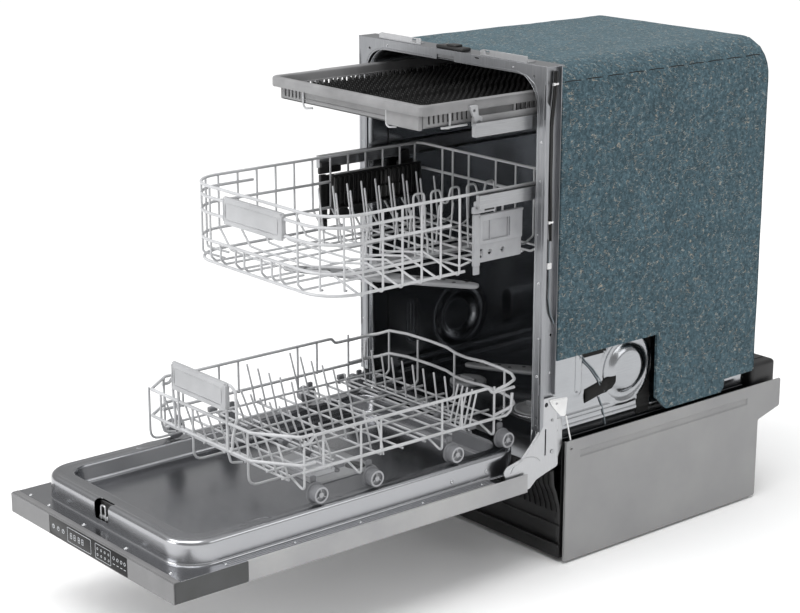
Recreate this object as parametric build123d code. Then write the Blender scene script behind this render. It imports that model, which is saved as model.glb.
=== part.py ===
from build123d import *
import math
import os

# Slimline built-in dishwasher, 45 cm class, door open and all three racks drawn out.
# Working axes: x to the right, y from the front frame (0) to the back, z up from the floor.
# On export everything is shifted so that the origin is the centre of the footprint.

# ---- driving dimensions, mm ----
body_width = 448.0
frame_height = 815.0
tub_width = 406.0
tub_depth = 508.0
base_depth = 530.0
rear_box_depth = 586.0
base_height = 210.0
door_reach = 685.0
door_bottom_z = 146.0
door_thickness = 31.0
sheet = 1.5
tub_sheet = 1.2
tub_top_drop = 15.0
tub_floor_z = 208.0
tub_corner_r = 50.0
frame_return = 36.0
blanket_thickness = 14.0
blanket_gap = 2.0
wire = 2.2
rim_wire = 2.7
foot_height = 6.0
foot_travel = 50.0
wheel_r = 16.0
lower_travel = 500.0
upper_travel = 396.0
tray_travel = 252.0
hinge_y = -24.0
hinge_z = 154.0
hinge_pin_r = 4.0
running_gap = 0.05
rack_gap = 0.4

# water works: places in plan and radii
filter_spot = (72.0, 140.0, 42.0)
softener_spot = (-112.0, 150.0)
sill_y = 40.0
arm_y = 262.0
arm_turn = 34.0
upper_arm_y = -140.0
upper_arm_turn = 30.0
spigot_r = 9.5
stud_r = 13.1

# latch, brackets and feet
latch_slot = (-27.0, 14.0)
bracket_hole_x = 150.0
bracket_hole_y = 16.0
bracket_hole_r = 2.5
foot_stem_r = 5.0
foot_spots = [(-180.0, 95.0), (180.0, 95.0), (0.0, 502.0)]
foot_names = ["foot_front_left", "foot_front_right", "foot_rear"]

# door
liner_y0 = -650.0
liner_y1 = -8.0
liner_rim = 28.0
liner_end_rim = 34.0
liner_corner_r = 52.0
pit_corner_r = 34.0
recess_z = 184.0
hole_spread = (170.0, 400.0)
hole_mid_y = -360.0
hole_r = 2.4
display_x = (-110.0, 106.0)
fascia_t = 3.0
lid_axis_y = -254.0

# lower rack
low_y0 = -480.0
low_y1 = -6.0
low_top = 320.0
low_mid = 277.0
low_bottom = 250.0
wheel_w = 10.0
axle_r = 3.4
wheel_y = [-410.0, -306.0, -147.0, -42.0]
front_tine_y = -355.0
rear_tine_y = -90.0

# upper rack
up_y0 = -380.0
up_y1 = 96.0
up_top = 630.0
up_rails = [588.0, 545.0]
up_bottom = 503.0
upper_rail = (608.0, 632.0)
fold_x = 70.0
shelf_z = 545.0

# cutlery tray
tray_y0 = -213.0
tray_y1 = 250.0
tray_deep = 36.0
tray_drop = 26.0
tray_lip = 3.0
rail_drop = 82.0
rail_high = 24.0
rail_deep = 10.0

# leads
harness_r = 3.6
thin_lead_r = 1.2

# ---- sizes worked out from them ----
tub_top_z = frame_height - tub_top_drop
half_w = body_width / 2
tub_half = tub_width / 2
door_top_z = door_bottom_z + door_thickness
ledge_z = tub_floor_z + 5.5
liner_top_z = ledge_z
wheel_z = ledge_z + wheel_r + rack_gap
shift_y = (door_reach - rear_box_depth) / 2
housing_half = half_w - 12.0
panel_in = half_w - 2.5
arm_x = half_w - 8.0
arm_t = 2.5
blanket_half = tub_half + blanket_gap + blanket_thickness
channel_x = blanket_half - 6.5
wall_in = tub_half - tub_sheet
liner_half = tub_half - 3.0
liner_in = liner_half - liner_rim
lid_axis_z = recess_z + 3.2
wheel_in = wall_in - 13.8
low_half = wall_in - 17.8
up_half = wall_in - 19.8
weld_z = low_bottom + 2 * wire
tine_z = weld_z + 2 * wire + 0.5
shelf_x = -(up_half - 12.0)
rail_in = wall_in - rail_deep
sliding_in = rail_in - 0.3
tray_half = wall_in - 14.8
tray_rim = tub_top_z - tray_drop
tray_low = tray_rim - tray_deep
tray_rail = (tub_top_z - rail_drop, tub_top_z - rail_drop + rail_high)

nodes = {}


def block(x0, x1, y0, y1, z0, z1):
    """A box from its low and high limits."""
    size = (x1 - x0, y1 - y0, z1 - z0)
    mid = ((x0 + x1) / 2, (y0 + y1) / 2, (z0 + z1) / 2)
    return Pos(*mid) * Box(*size)


def rod(p, q, r):
    """A round bar between two points."""
    a = Vector(*p)
    b = Vector(*q)
    plane = Plane(origin=a, z_dir=(b - a).normalized())
    return plane * Cylinder(r, (b - a).length, align=(Align.CENTER, Align.CENTER, Align.MIN))


def bar(points, r, closed=False):
    """A bent wire as straight round bars from point to point."""
    ends = points[1:] + points[:1] if closed else points[1:]
    starts = points if closed else points[:-1]
    return [rod(a, b, r) for a, b in zip(starts, ends)]


def disc(x, y, z, r, height):
    """An upright cylinder standing on z."""
    return Pos(x, y, z) * Cylinder(r, height, align=(Align.CENTER, Align.CENTER, Align.MIN))


def cross_disc(x0, x1, y, z, r):
    """A cylinder lying along x."""
    return rod((x0, y, z), (x1, y, z), r)


def plate_yz(x0, x1, points):
    """A flat plate across x with an outline of (y, z) points."""
    outline = Plane.YZ * Polyline(*points, close=True)
    return Pos(x0, 0, 0) * extrude(make_face(outline), amount=x1 - x0, dir=(1, 0, 0))


def plate_xz(y0, y1, points):
    """A flat plate across y with an outline of (x, z) points."""
    wires = Polyline(*[(x, y0, z) for x, z in points], close=True)
    return extrude(make_face(wires), amount=y1 - y0, dir=(0, 1, 0))


def plate_xy(z0, z1, points):
    """A flat plate across z with an outline of (x, y) points."""
    wires = Polyline(*[(x, y, z0) for x, y in points], close=True)
    return extrude(make_face(wires), amount=z1 - z0, dir=(0, 0, 1))


def mirrored(solids):
    """The same solids with their mirror images across x = 0."""
    return list(solids) + [mirror(s, about=Plane.YZ) for s in solids]


def arc_points(cx, cy, r, start, end, steps):
    """Points on an arc, angles in degrees."""
    turn = [math.radians(start + (end - start) * i / steps) for i in range(steps + 1)]
    return [(cx + r * math.cos(a), cy + r * math.sin(a)) for a in turn]


def arch_points(half, top, r, bottom, steps=3):
    """An upside-down U with rounded corners, from the lower left to the lower right."""
    left = arc_points(-half + r, top - r, r, 180, 90, steps)
    right = arc_points(half - r, top - r, r, 90, 0, steps)
    return [(-half, bottom)] + left + right + [(half, bottom)]


def loop_points(half, y0, y1, r, steps=3):
    """A rounded rectangle in plan, running round from the back left."""
    pts = arc_points(-half + r, y0 + r, r, 180, 270, steps)
    pts += arc_points(half - r, y0 + r, r, 270, 360, steps)
    pts += arc_points(half - r, y1 - r, r, 0, 90, steps)
    pts += arc_points(-half + r, y1 - r, r, 90, 180, steps)
    return pts


def strips(inner, outer, build, closed=False):
    """One flat convex piece for each step between two matching outlines."""
    count = len(inner) if closed else len(inner) - 1
    made = []
    for i in range(count):
        j = (i + 1) % len(inner)
        made.append(build([inner[i], inner[j], outer[j], outer[i]]))
    return made


def add(name, solids):
    """Store one node as a compound of its solids, moved to the export origin."""
    parts = []
    for s in (solids if isinstance(solids, (list, tuple)) else [solids]):
        parts += list(s.solids())
    nodes[name] = Pos(0, shift_y, 0) * Compound(children=parts)


# ---- tub ----
def make_tub():
    inner = arch_points(wall_in, tub_top_z - tub_sheet, tub_corner_r, tub_floor_z)
    outer = arch_points(tub_half, tub_top_z, tub_corner_r + tub_sheet, tub_floor_z)
    walls = strips(inner, outer, lambda q: plate_xz(2.0, tub_depth, q))
    back = plate_xz(tub_depth, tub_depth + tub_sheet, outer)
    add("tub_walls", walls + [back])
    low = tub_floor_z - 3.0
    sump_x, sump_y, sump_r = filter_spot
    hole = sump_r + 10.0
    floor_front = sill_y + 2.0
    spots = [
        block(-tub_half, sump_x - hole, floor_front, tub_depth, low, tub_floor_z),
        block(sump_x + hole, tub_half, floor_front, tub_depth, low, tub_floor_z),
        block(sump_x - hole, sump_x + hole, floor_front, sump_y - hole, low, tub_floor_z),
        block(sump_x - hole, sump_x + hole, sump_y + hole, tub_depth, low, tub_floor_z),
        block(-tub_half, tub_half, sill_y, floor_front, low - 40.0, tub_floor_z),
    ]
    track = block(wheel_in - 8.0, wall_in, floor_front, tub_depth, tub_floor_z, ledge_z)
    add("tub_floor", spots + mirrored([track]))
    seal = 1.6
    seal_in = arch_points(wall_in - seal, tub_top_z - tub_sheet - seal, tub_corner_r - seal, 245.0)
    seal_out = arch_points(wall_in, tub_top_z - tub_sheet, tub_corner_r, 245.0)
    add("tub_gasket", strips(seal_in, seal_out, lambda q: plate_xz(41.0, 50.0, q)))


# ---- stainless front frame with its side channels ----
def make_frame():
    face_low = 240.0
    open_half = tub_half + 2.0
    open_top = tub_top_z - 2.0
    inner = arch_points(open_half, open_top, tub_corner_r, face_low, 4)
    left = [(-half_w, face_low)] + [(-half_w, frame_height)] * 5
    outer = left + [(half_w, frame_height)] * 5 + [(half_w, face_low)]
    pieces = []
    for i in range(len(inner) - 1):
        quad = [inner[i], inner[i + 1]]
        for p in (outer[i + 1], outer[i]):
            if p not in quad:
                quad.append(p)
        pieces.append(plate_xz(0.0, sheet, quad))
    slot = block(latch_slot[0], latch_slot[1], -1.0, 3.0, frame_height - 13.0, frame_height - 5.0)
    pieces = [p - slot for p in pieces]
    wall = block(channel_x, channel_x + sheet, sheet, frame_return, 295.0, frame_height - sheet)
    top = block(-half_w, half_w, sheet, frame_return, frame_height - sheet, frame_height)
    for x in (-bracket_hole_x, bracket_hole_x):
        top = top - disc(x, bracket_hole_y, frame_height - 5.0, bracket_hole_r, 10.0)
    add("front_frame", pieces + mirrored([wall]) + [top])


def make_brackets():
    x0, x1, rise = 71.0, 176.0, 10.0
    z0 = frame_height
    up = block(x0, x1, 4.0, 4.0 + sheet, z0, z0 + rise)
    up = up - block(x0 + 14, x0 + 24, 3.0, 7.0, z0 + 3.0, z0 + 8.0)
    foot = block(x0 + 12, x1, 4.0 + sheet, 24.0, z0, z0 + sheet)
    foot = foot - disc(bracket_hole_x, bracket_hole_y, z0 - 2.0, bracket_hole_r, 6.0)
    add("top_brackets", mirrored([up, foot]))
    left, right = latch_slot
    holder = block(left - 4.0, right + 4.0, sheet, 30.0, tub_top_z, frame_height - sheet)
    throat = block(left + 4.0, right - 4.0, sheet - 1, 20.0, tub_top_z + 3.0, frame_height - 5.0)
    add("latch_catch", holder - throat)


# ---- felt blanket over the tub ----
def make_blanket():
    gap = blanket_gap
    inner_half = tub_half + gap
    outer_half = blanket_half
    inner_top = tub_top_z + gap
    outer_top = frame_height - 7.0
    low = 237.0
    inside = arch_points(inner_half, inner_top, tub_corner_r + gap, low - 1.0, 8)
    outside = arch_points(outer_half, outer_top, tub_corner_r + 8.0, low - 24.0, 8)
    back_y = tub_depth + tub_sheet
    shell = plate_xz(frame_return, back_y + 8.0, outside)
    inside = [(x, z - 40.0 if i in (0, len(inside) - 1) else z) for i, (x, z) in enumerate(inside)]
    shell = shell - plate_xz(frame_return - 1.0, back_y + 0.8, inside)
    wide = outer_half + 5.0
    front_cut = block(-wide, wide, 0.0, 265.0, 100.0, 350.0)
    rear_cut = block(-wide, wide, 435.0, back_y + 20.0, 100.0, low)
    add("insulation_blanket", shell - front_cut - rear_cut)


# ---- plastic base with its panels, springs and feet ----
def make_base():
    low, high = 8.0, tub_floor_z - 3.0
    t = 3.0
    w = housing_half
    front = 62.0
    toe_top, lip = 95.0, 150.0
    walls = mirrored([block(w - t, w, front, base_depth, low, high)])
    rear = block(-w + t, w - t, base_depth - t, base_depth, low, 160.0)
    pan = block(-w + t, w - t, front + 50.0, base_depth - 60.0, low, low + t)
    toe = block(-w, w, front - t, front, low, toe_top)
    slant = [(front - t, toe_top), (front, toe_top), (sill_y + 8, lip), (sill_y + 5, lip)]
    slope = plate_yz(-w, w, slant)
    apron = block(-w, w, sill_y + 5, sill_y + 8, lip, high - 42.0)
    box_low, box_high = 160.0, 220.0
    b0, b1 = base_depth + 0.5, rear_box_depth - 3.0
    box = [
        block(-w, w, base_depth - t, b1, box_low, box_low + t),
        block(-w, w, base_depth - 8.0, b1, box_high - t, box_high),
        block(-w, w, b1 - t, b1, box_low + t, box_high - t),
    ] + mirrored([block(w - t, w, b0, b1 - t, box_low + t, box_high - t)])
    ribs = []
    count = 27
    pitch = (2 * w - 24.0) / (count - 1)
    rib = [(front - t, 14), (front - t, toe_top), (sill_y + 5, lip), (sill_y, lip),
           (front - 9, toe_top - 3), (front - 8, 14)]
    for i in range(count):
        x = -w + 12.0 + i * pitch
        ribs.append(plate_yz(x - 0.8, x + 0.8, rib))
    add("base_housing", walls + [rear, pan, toe, slope, apron] + box + ribs)

    outline = [(61, 4), (base_depth, 4), (base_depth, 150), (rear_box_depth, 160),
               (rear_box_depth, base_height), (61, base_height)]
    side = [plate_yz(panel_in, panel_in + sheet, outline)]
    side.append(block(panel_in + sheet, half_w, 92.0, 500.0, 178.0, 189.0))
    side.append(block(housing_half, panel_in, 110.0, 125.0, 12.0, 16.0))
    side.append(block(housing_half, panel_in, base_depth - 25.0, base_depth - 5.0, 12.0, 16.0))
    add("base_panels", mirrored(side))

    x0 = housing_half
    lug = [(hinge_y - 8, hinge_z - 5.5), (hinge_y - 8, hinge_z + 6), (hinge_y + 2, hinge_z + 10),
           (44, 198), (130, 198), (130, 128), (66, 128), (hinge_y + 2, hinge_z - 10)]
    pin = cross_disc(x0 + 2, arm_x + arm_t + 1.5, hinge_y, hinge_z, hinge_pin_r)
    add("hinge_supports", mirrored([plate_yz(x0, x0 + 2, lug), pin]))
    mid = (housing_half + panel_in) / 2
    add("door_springs", mirrored([rod((mid, 150, 60), (mid, 420, 60), 4.2)]))
    rope_r = 1.4
    rope_x = panel_in - rope_r - 0.2
    path = [(rope_x, 61, 252), (rope_x, 72, 212), (mid + 1.5, 84, 150), (mid, 92, 72),
            (mid, 104, 60), (mid, 150, 60)]
    add("door_ropes", mirrored(bar(path, rope_r)))
    add("base_ballast", block(-50, 150, 436, 478, 24, 150))
    sockets = []
    for x, y in foot_spots:
        hub = block(x - 13, x + 13, y - 13, y + 13, 20.0, 64.0)
        sockets.append(hub - disc(x, y, 10.0, foot_stem_r + running_gap, 60.0))
    add("foot_sockets", sockets)
    for label, (x, y) in zip(foot_names, foot_spots):
        pad = disc(x, y, 0.0, 17.0, foot_height)
        stem = disc(x, y, foot_height, foot_stem_r, 78.0)
        add(label, [pad, stem])


# ---- water works below and inside the tub ----
def make_water():
    fx, fy, fr = filter_spot
    pot = disc(fx, fy, 120.0, fr + 6.0, tub_floor_z - 3.0 - 120.0)
    pot = pot - disc(fx, fy, 124.0, fr + 3.0, 100.0)
    add("sump_pot", pot)
    hole = fr + 10.0
    flat = block(fx - hole, fx + hole, fy - hole, fy + hole, tub_floor_z - 3.0, tub_floor_z)
    add("flat_filter", flat - disc(fx, fy, 190.0, fr - 3.0, 40.0))
    cup = disc(fx, fy, 150.0, fr - 3.5, tub_floor_z - 150.0 + 3.0)
    grip = block(fx - 18, fx + 18, fy - 2.5, fy + 2.5, tub_floor_z + 3.0, tub_floor_z + 12.0)
    add("filter_cup", [cup, grip])
    sx, sy = softener_spot
    add("water_softener", [block(sx - 55, sx + 55, sy - 60, sy + 60, 60.0, tub_floor_z - 3.5)])
    cap = disc(sx, sy, tub_floor_z + 0.2, 32.0, 6.0)
    grip = block(sx - 24, sx + 24, sy - 3, sy + 3, tub_floor_z + 6.2, tub_floor_z + 11.0)
    add("softener_cap", [cap, grip])
    pump = rod((20, 300, 90), (110, 300, 90), 40.0)
    add("circulation_pump", [pump, disc(65, 300, 128.0, 14.0, tub_floor_z - 3.5 - 128.0)])
    spigot = rod((-90, base_depth, 70), (-90, base_depth + 32, 70), spigot_r)
    body = rod((-90, base_depth - 3.5, 70), (-90, 440, 70), 24.0)
    drain = rod((-90, 440, 70), (-90, 400, 70), 14.0)
    add("drain_pump", [body, drain, spigot])
    stud_y = base_depth + 22.0
    valve = block(-178, -136, base_depth, stud_y, 50, 92)
    add("inlet_valve", [valve, rod((-157, stud_y, 71), (-157, stud_y + 16, 71), stud_r)])
    socket = block(120, 160, base_depth, base_depth + 20, 60, 90)
    socket = socket - block(124, 156, base_depth + 6, base_depth + 21, 64, 86)
    add("power_inlet", socket)
    duct = block(-16, 16, tub_depth - 8, tub_depth, tub_floor_z, 470)
    port = block(-24, 24, tub_depth - 12, tub_depth, 470, 545)
    post = disc(0, arm_y, tub_floor_z, 12.0, 8.0)
    add("spray_duct", [duct, port, post])
    add("lower_spray_arm", spray_arm(0, arm_y, tub_floor_z + 18.0, 170.0, 8.0))


def spray_arm(x, y, z, reach, height):
    """A two-bladed spray arm with its hub."""
    hub = disc(x, y, z - 9.8, 15.0, height + 12.0)
    made = [hub]
    for side in (-1, 1):
        outline = [(0, -16 * side), (reach * 0.55 * side, -15 * side), (reach * side, -9 * side),
                   (reach * side, 9 * side), (reach * 0.55 * side, 15 * side), (0, 16 * side)]
        blade = plate_xy(0, height, outline)
        made.append(Pos(x, y, z) * Rot(0, 0, arm_turn) * blade)
    return made


# ---- fixed and telescopic rails ----
def rail_pair(z0, z1, y0, y1):
    """A pair of C-shaped rails on the tub walls, open towards the middle."""
    web_in = wall_in - sheet
    web = block(web_in, wall_in, y0, y1, z0, z1)
    low = block(rail_in, web_in, y0, y1, z0, z0 + tub_sheet)
    high = block(rail_in, web_in, y0, y1, z1 - tub_sheet, z1)
    return mirrored([web, low, high])


def make_rails():
    fixed = rail_pair(*upper_rail, 52.0, 480.0) + rail_pair(*tray_rail, 52.0, tub_depth - 6.0)
    add("fixed_rails", fixed)
    x0, x1 = sliding_in, wall_in - sheet - rack_gap
    z0, z1 = upper_rail[0] + 1.6, upper_rail[1] - 1.6
    add("upper_rails_sliding", mirrored([block(x0, x1, -110.0, 104.0, z0, z1)]))
    z0, z1 = tray_rail[0] + 1.6, tray_rail[1] - 1.6
    add("tray_rails_sliding", mirrored([block(x0, x1, -120.0, 248.0, z0, z1)]))


# ---- door ----
def make_door():
    front, near = -door_reach + fascia_t, hinge_y
    z0, z1 = door_bottom_z, door_top_z
    skin = block(-half_w, half_w, front, near, z0, z0 + sheet)
    across, along = hole_spread
    for sx in (-1, 1):
        for sy in (-1, 1):
            skin = skin - disc(sx * across, hole_mid_y + sy * along / 2, z0 - 2, hole_r, 8.0)
    slot = block(half_w - 19.0, half_w - 3.0, -90.0, near + 1.0, z0 - 1, z0 + 3)
    skin = skin - slot - mirror(slot, about=Plane.YZ)
    cap_y = -560.0
    sides = mirrored([block(half_w - sheet, half_w, cap_y, near, z0 + sheet, z1)])
    add("door_outer_panel", [skin] + sides)

    t = tub_sheet
    top = liner_top_z
    pit_y0, pit_y1 = liner_y0 + liner_end_rim, liner_y1 - 26.0
    outer = loop_points(liner_half, liner_y0, liner_y1, liner_corner_r)
    inner = loop_points(liner_in, pit_y0, pit_y1, pit_corner_r)
    shell_in = loop_points(liner_half - t, liner_y0 + t, liner_y1 - t, liner_corner_r - t)
    pit_in = loop_points(liner_in + t, pit_y0 - t, pit_y1 + t, pit_corner_r + t)
    made = strips(shell_in, outer, lambda q: plate_xy(z1 - sheet, top - t, q), closed=True)
    made += strips(inner, outer, lambda q: plate_xy(top - t, top, q), closed=True)
    made += strips(inner, pit_in, lambda q: plate_xy(recess_z - t, top - t, q), closed=True)
    made.append(plate_xy(recess_z - t, recess_z, inner))
    edge = half_w - sheet
    corner_y = liner_y0 + liner_corner_r
    flange = block(-edge, edge, front, corner_y, z1 - sheet, z1)
    made.append(flange - plate_xy(z1 - 3, z1 + 3, outer))
    made += mirrored([block(liner_half, edge, corner_y, -90.0, z1 - sheet, z1)])
    notch_x0, notch_x1 = -38.0, 2.0
    notch = block(notch_x0, notch_x1, liner_y0 - 2, liner_y0 + 14, z1 + 4, top + 1)
    cut = []
    for m in made:
        box = m.bounding_box()
        reached = box.min.Y < liner_y0 + 20 and box.min.X < notch_x1 and box.max.X > notch_x0
        cut.append(m - notch if reached else m)
    add("door_liner", cut)

    f0, f1 = -door_reach, front
    window = block(display_x[0], display_x[1], f0 - 1, f0 + 2.0, z0 + 0.5, z1 - 0.5)
    fascia = block(-half_w, half_w, f0, f1, z0, z1) - window
    caps = mirrored([block(half_w - sheet, half_w, f1, cap_y, z0 + sheet, z1)])
    add("control_fascia", [fascia] + caps)
    glass = block(display_x[0] + 0.2, display_x[1] - 0.2, f0 + 0.3, f0 + 2.0, z0 + 0.7, z1 - 0.7)
    add("display_window", glass)
    heads = [disc(x, liner_y0 - 17.0, z1, 3.2, 1.0) for x in (-195, -140, -40, 75, 190)]
    side_heads = [disc(212, y, z1, 2.6, 1.0) for y in (-590, -470, -350, -230, -110)]
    wall_heads = [cross_disc(liner_half, liner_half + 1.2, y, 190.0, 3.0) for y in (-161, -90)]
    add("door_screws", heads + mirrored(side_heads + wall_heads))
    hook = block(-24, -12, liner_y0 + 3, liner_y0 + 5, z1 + 6, top - 4)
    base = block(-36, 0, liner_y0 + 5, liner_y0 + 13, z1 + 6, top - 4)
    add("latch_strike", [hook, base])

    lever = [(-71, 187), (-66, 178), (-64, 160), (-40, 160), (-32, 148), (-14, 148), (0, 160), (20, 166),
             (47, 173), (43, 262), (40, 291), (2.5, 291), (2.5, 238), (-12, 222), (-34, 202), (-62, 196)]
    x0, x1 = arm_x, arm_x + arm_t
    arm = plate_yz(x0, x1, lever)
    arm = arm - cross_disc(x0 - 1, x1 + 1, hinge_y, hinge_z, hinge_pin_r + running_gap)
    foot = block(x1, half_w - sheet, -64, -42, z0 + 16, z1 - 3)
    add("hinge_arms", mirrored([arm, foot]))
    clip = plate_yz(x1, x1 + 1.6, [(24, 286), (63, 283), (60, 255), (50, 258)])
    add("rope_clips", mirrored([clip]))
    body = block(-70, 70, -330, -190, z0 + 6, recess_z - t)
    plate = block(-68, 68, -322, -198, recess_z, recess_z + 2.0)
    plate = plate - block(-42, 42, -312, -252, recess_z - 1, recess_z + 3)
    add("dispenser_body", [body, plate])
    lid = block(-41, 41, -311, -253, recess_z + 0.3, recess_z + 2.6)
    barrel = cross_disc(-41, 41, lid_axis_y, lid_axis_z, 1.0)
    add("dispenser_lid", [lid, barrel])


# ---- lower rack ----
def rack_loop(half, y0, y1, z, cut):
    """A rack's rim wire, with its two front corners cut off."""
    return [(-half, y1, z), (-half, y0 + cut, z), (-half + cut, y0, z),
            (half - cut, y0, z), (half, y0 + cut, z), (half, y1, z)]


def tine_row(y, x0, x1, count, height, lean, z, r):
    """Upright pins side by side, leaning towards the front."""
    made = []
    for i in range(count):
        x = x0 + (x1 - x0) * i / (count - 1)
        made.append(rod((x, y, z), (x, y - lean, z + height), r))
    return made


def make_lower_rack():
    made = bar(rack_loop(low_half, low_y0, low_y1, low_top, 36.0), rim_wire, closed=True)
    made += bar(rack_loop(low_half - 2, low_y0 + 2, low_y1 - 2, low_mid, 36.0), wire, closed=True)
    count = 11
    for i in range(count):
        y = -430.0 + i * 41.5
        w = low_half - 3.0
        pts = [(-w, y, low_top), (-w, y, low_mid), (-w + 20, y, low_bottom),
               (w - 20, y, low_bottom), (w, y, low_mid), (w, y, low_top)]
        made += bar(pts, wire)
    reach = low_half - 44.0
    z = weld_z
    for i in range(9):
        x = -reach + i * reach / 4
        pts = [(x, low_y0 + 4, low_top), (x, low_y0 + 6, low_mid), (x, low_y0 + 26, z),
               (x, low_y1 - 12, z), (x, low_y1 - 3, low_mid), (x, low_y1 - 3, low_top)]
        made += bar(pts, wire)
    row_x = low_half - 19.0
    made += tine_row(-440, -reach, low_half - 26.0, 11, 60.0, 18.0, z, wire)
    made += tine_row(-268, -row_x, row_x, 12, 64.0, 18.0, z, wire)
    made += tine_row(-180, -row_x, -20, 6, 64.0, 18.0, z, wire)
    for y in wheel_y:
        clip = block(wheel_in - 9.0, wheel_in - 2.0, y - 12, y + 12, wheel_z - 8, low_mid)
        axle = cross_disc(wheel_in - 2.0, wheel_in + wheel_w + 0.8, y, wheel_z, axle_r)
        made += mirrored([clip, axle])
    add("lower_basket", made)
    hx = 71.0
    y = low_y0 - 8.0
    grip = block(-hx, hx, y - 2.0, y + 2.0, 342.0, 384.0)
    stalks = mirrored([rod((50, low_y0 - 1, low_top + rim_wire + 0.6), (50, y, 344.0), 2.4)])
    add("lower_handle", [grip] + stalks)
    lean = 20.0
    rows = (("lower_tines_front", front_tine_y, -72, low_half - 34.0, 10),
            ("lower_tines_rear", rear_tine_y, -98, 110, 9))
    for name, y, x0, x1, count in rows:
        row = [rod((x0 - 8, y, tine_z), (x1 + 8, y, tine_z), wire)]
        row += tine_row(y, x0, x1, count, 62.0, lean, tine_z, wire)
        add(name, row)
    x0, x1 = wheel_in, wheel_in + wheel_w
    for i, y in enumerate(wheel_y):
        bore = cross_disc(x0 - 1, x1 + 1, y, wheel_z, axle_r + running_gap)
        wheel = cross_disc(x0, x1, y, wheel_z, wheel_r) - bore
        add(f"lower_wheels_{i + 1}", mirrored([wheel]))


# ---- upper rack ----
def make_upper_rack():
    made = []
    for z, inset, r in ((up_top, 0.0, rim_wire), (up_rails[0], 2.0, wire), (up_rails[1], 4.0, wire)):
        w = up_half - inset
        corner = arc_points(-w + 60, up_y0 + inset + 60, 60, 180, 270, 3)
        left = [(x, y, z) for x, y in corner]
        right = [(-x, y, z) for x, y, z in reversed(left)]
        made += bar([(-w, up_y1, z)] + left + right + [(w, up_y1, z)], r, closed=True)
    for i in range(12):
        y = up_y0 + 64.0 + i * 36.0
        w = up_half - 1.0
        pts = [(-w, y, up_top), (-w + 6, y, up_bottom + 12), (-w + 20, y, up_bottom), (w - 20, y, up_bottom),
               (w - 6, y, up_bottom + 12), (w, y, up_top)]
        made += bar(pts, wire)
    for i in range(7):
        x = -108.0 + i * 36.0
        z = up_bottom + 2 * wire
        pts = [(x, up_y0 + 2, up_top), (x, up_y0 + 12, up_rails[1]), (x, up_y0 + 34, z),
               (x, up_y1 - 8, z), (x, up_y1 - 2, up_rails[1]), (x, up_y1 - 2, up_top)]
        made += bar(pts, wire)
    z = up_bottom + 2 * wire
    for x, count in ((-50.0, 7), (-95.0, 7)):
        for i in range(count):
            y = -170.0 + i * 32.0
            made.append(rod((x, y, z), (x - 10, y, z + 88), wire))
    pipe_z = up_bottom - wire - 9.0
    made.append(rod((0, upper_arm_y - 14, pipe_z), (0, up_y1 - 2, pipe_z), 8.0))
    made.append(disc(0, upper_arm_y, pipe_z - 13.0, 9.0, 12.0))
    add("upper_basket", made)
    hx = 75.0
    y = up_y0 - 3.5
    add("upper_handle", block(-hx, hx, y - 3.0, y + 0.5, 581.0, 622.0))
    x0, x1 = up_half + 3.4, sliding_in
    blocks = [block(x0, x1, -115.0, -14.0, 506.0, 604.0), block(x0, x1, 50.0, 88.0, 540.0, 604.0)]
    links = [block(x0, x1, -100.0, -30.0, 604.0, 622.0), block(x0, x1, 55.0, 83.0, 604.0, 622.0)]
    add("upper_adjusters", mirrored(blocks + links))
    shelf = []
    y0, y1 = -104.0, 88.0
    spine = block(shelf_x, shelf_x + 4.0, y0, y1, shelf_z, shelf_z + 8.0)
    rim = block(shelf_x, shelf_x + 4.0, y0, y1, shelf_z + 48.0, shelf_z + 56.0)
    count = 15
    for i in range(count):
        y = y0 + (y1 - y0 - 4.0) * i / (count - 1)
        shelf.append(block(shelf_x + 0.5, shelf_x + 3.5, y, y + 4.0, shelf_z + 8.0, shelf_z + 48.0))
    barrel = rod((shelf_x + 4.5, y0, shelf_z + 2.0), (shelf_x + 4.5, y1, shelf_z + 2.0), 2.0)
    add("cup_shelf_left", [spine, rim, barrel] + shelf)
    z = up_bottom + 4 * wire + 1.0
    row = [rod((fold_x, -125.0, z), (fold_x, 60.0, z), wire)]
    for i in range(5):
        y = -112.0 + i * 34.0
        loop = [(fold_x, y, z), (fold_x - 4, y - 6, z + 60), (fold_x - 5, y + 3, z + 96),
                (fold_x - 4, y + 12, z + 84), (fold_x - 5, y + 21, z + 96), (fold_x - 4, y + 28, z + 60),
                (fold_x, y + 24, z)]
        row += bar(loop, wire)
    add("upper_tines", row)
    base = pipe_z - 13.2
    add("upper_spray_arm", upper_arm(base))


def upper_arm(top):
    """The spray arm under the upper rack, hanging from its hub."""
    made = [disc(0, upper_arm_y, top - 14.0, 16.0, 14.0)]
    for side in (-1, 1):
        outline = [(0, -15 * side), (90 * side, -13 * side), (165 * side, -8 * side), (165 * side, 8 * side),
                   (90 * side, 13 * side), (0, 15 * side)]
        blade = plate_xy(0, 8.0, outline)
        made.append(Pos(0, upper_arm_y, top - 12.0) * Rot(0, 0, upper_arm_turn) * blade)
    return made


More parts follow.
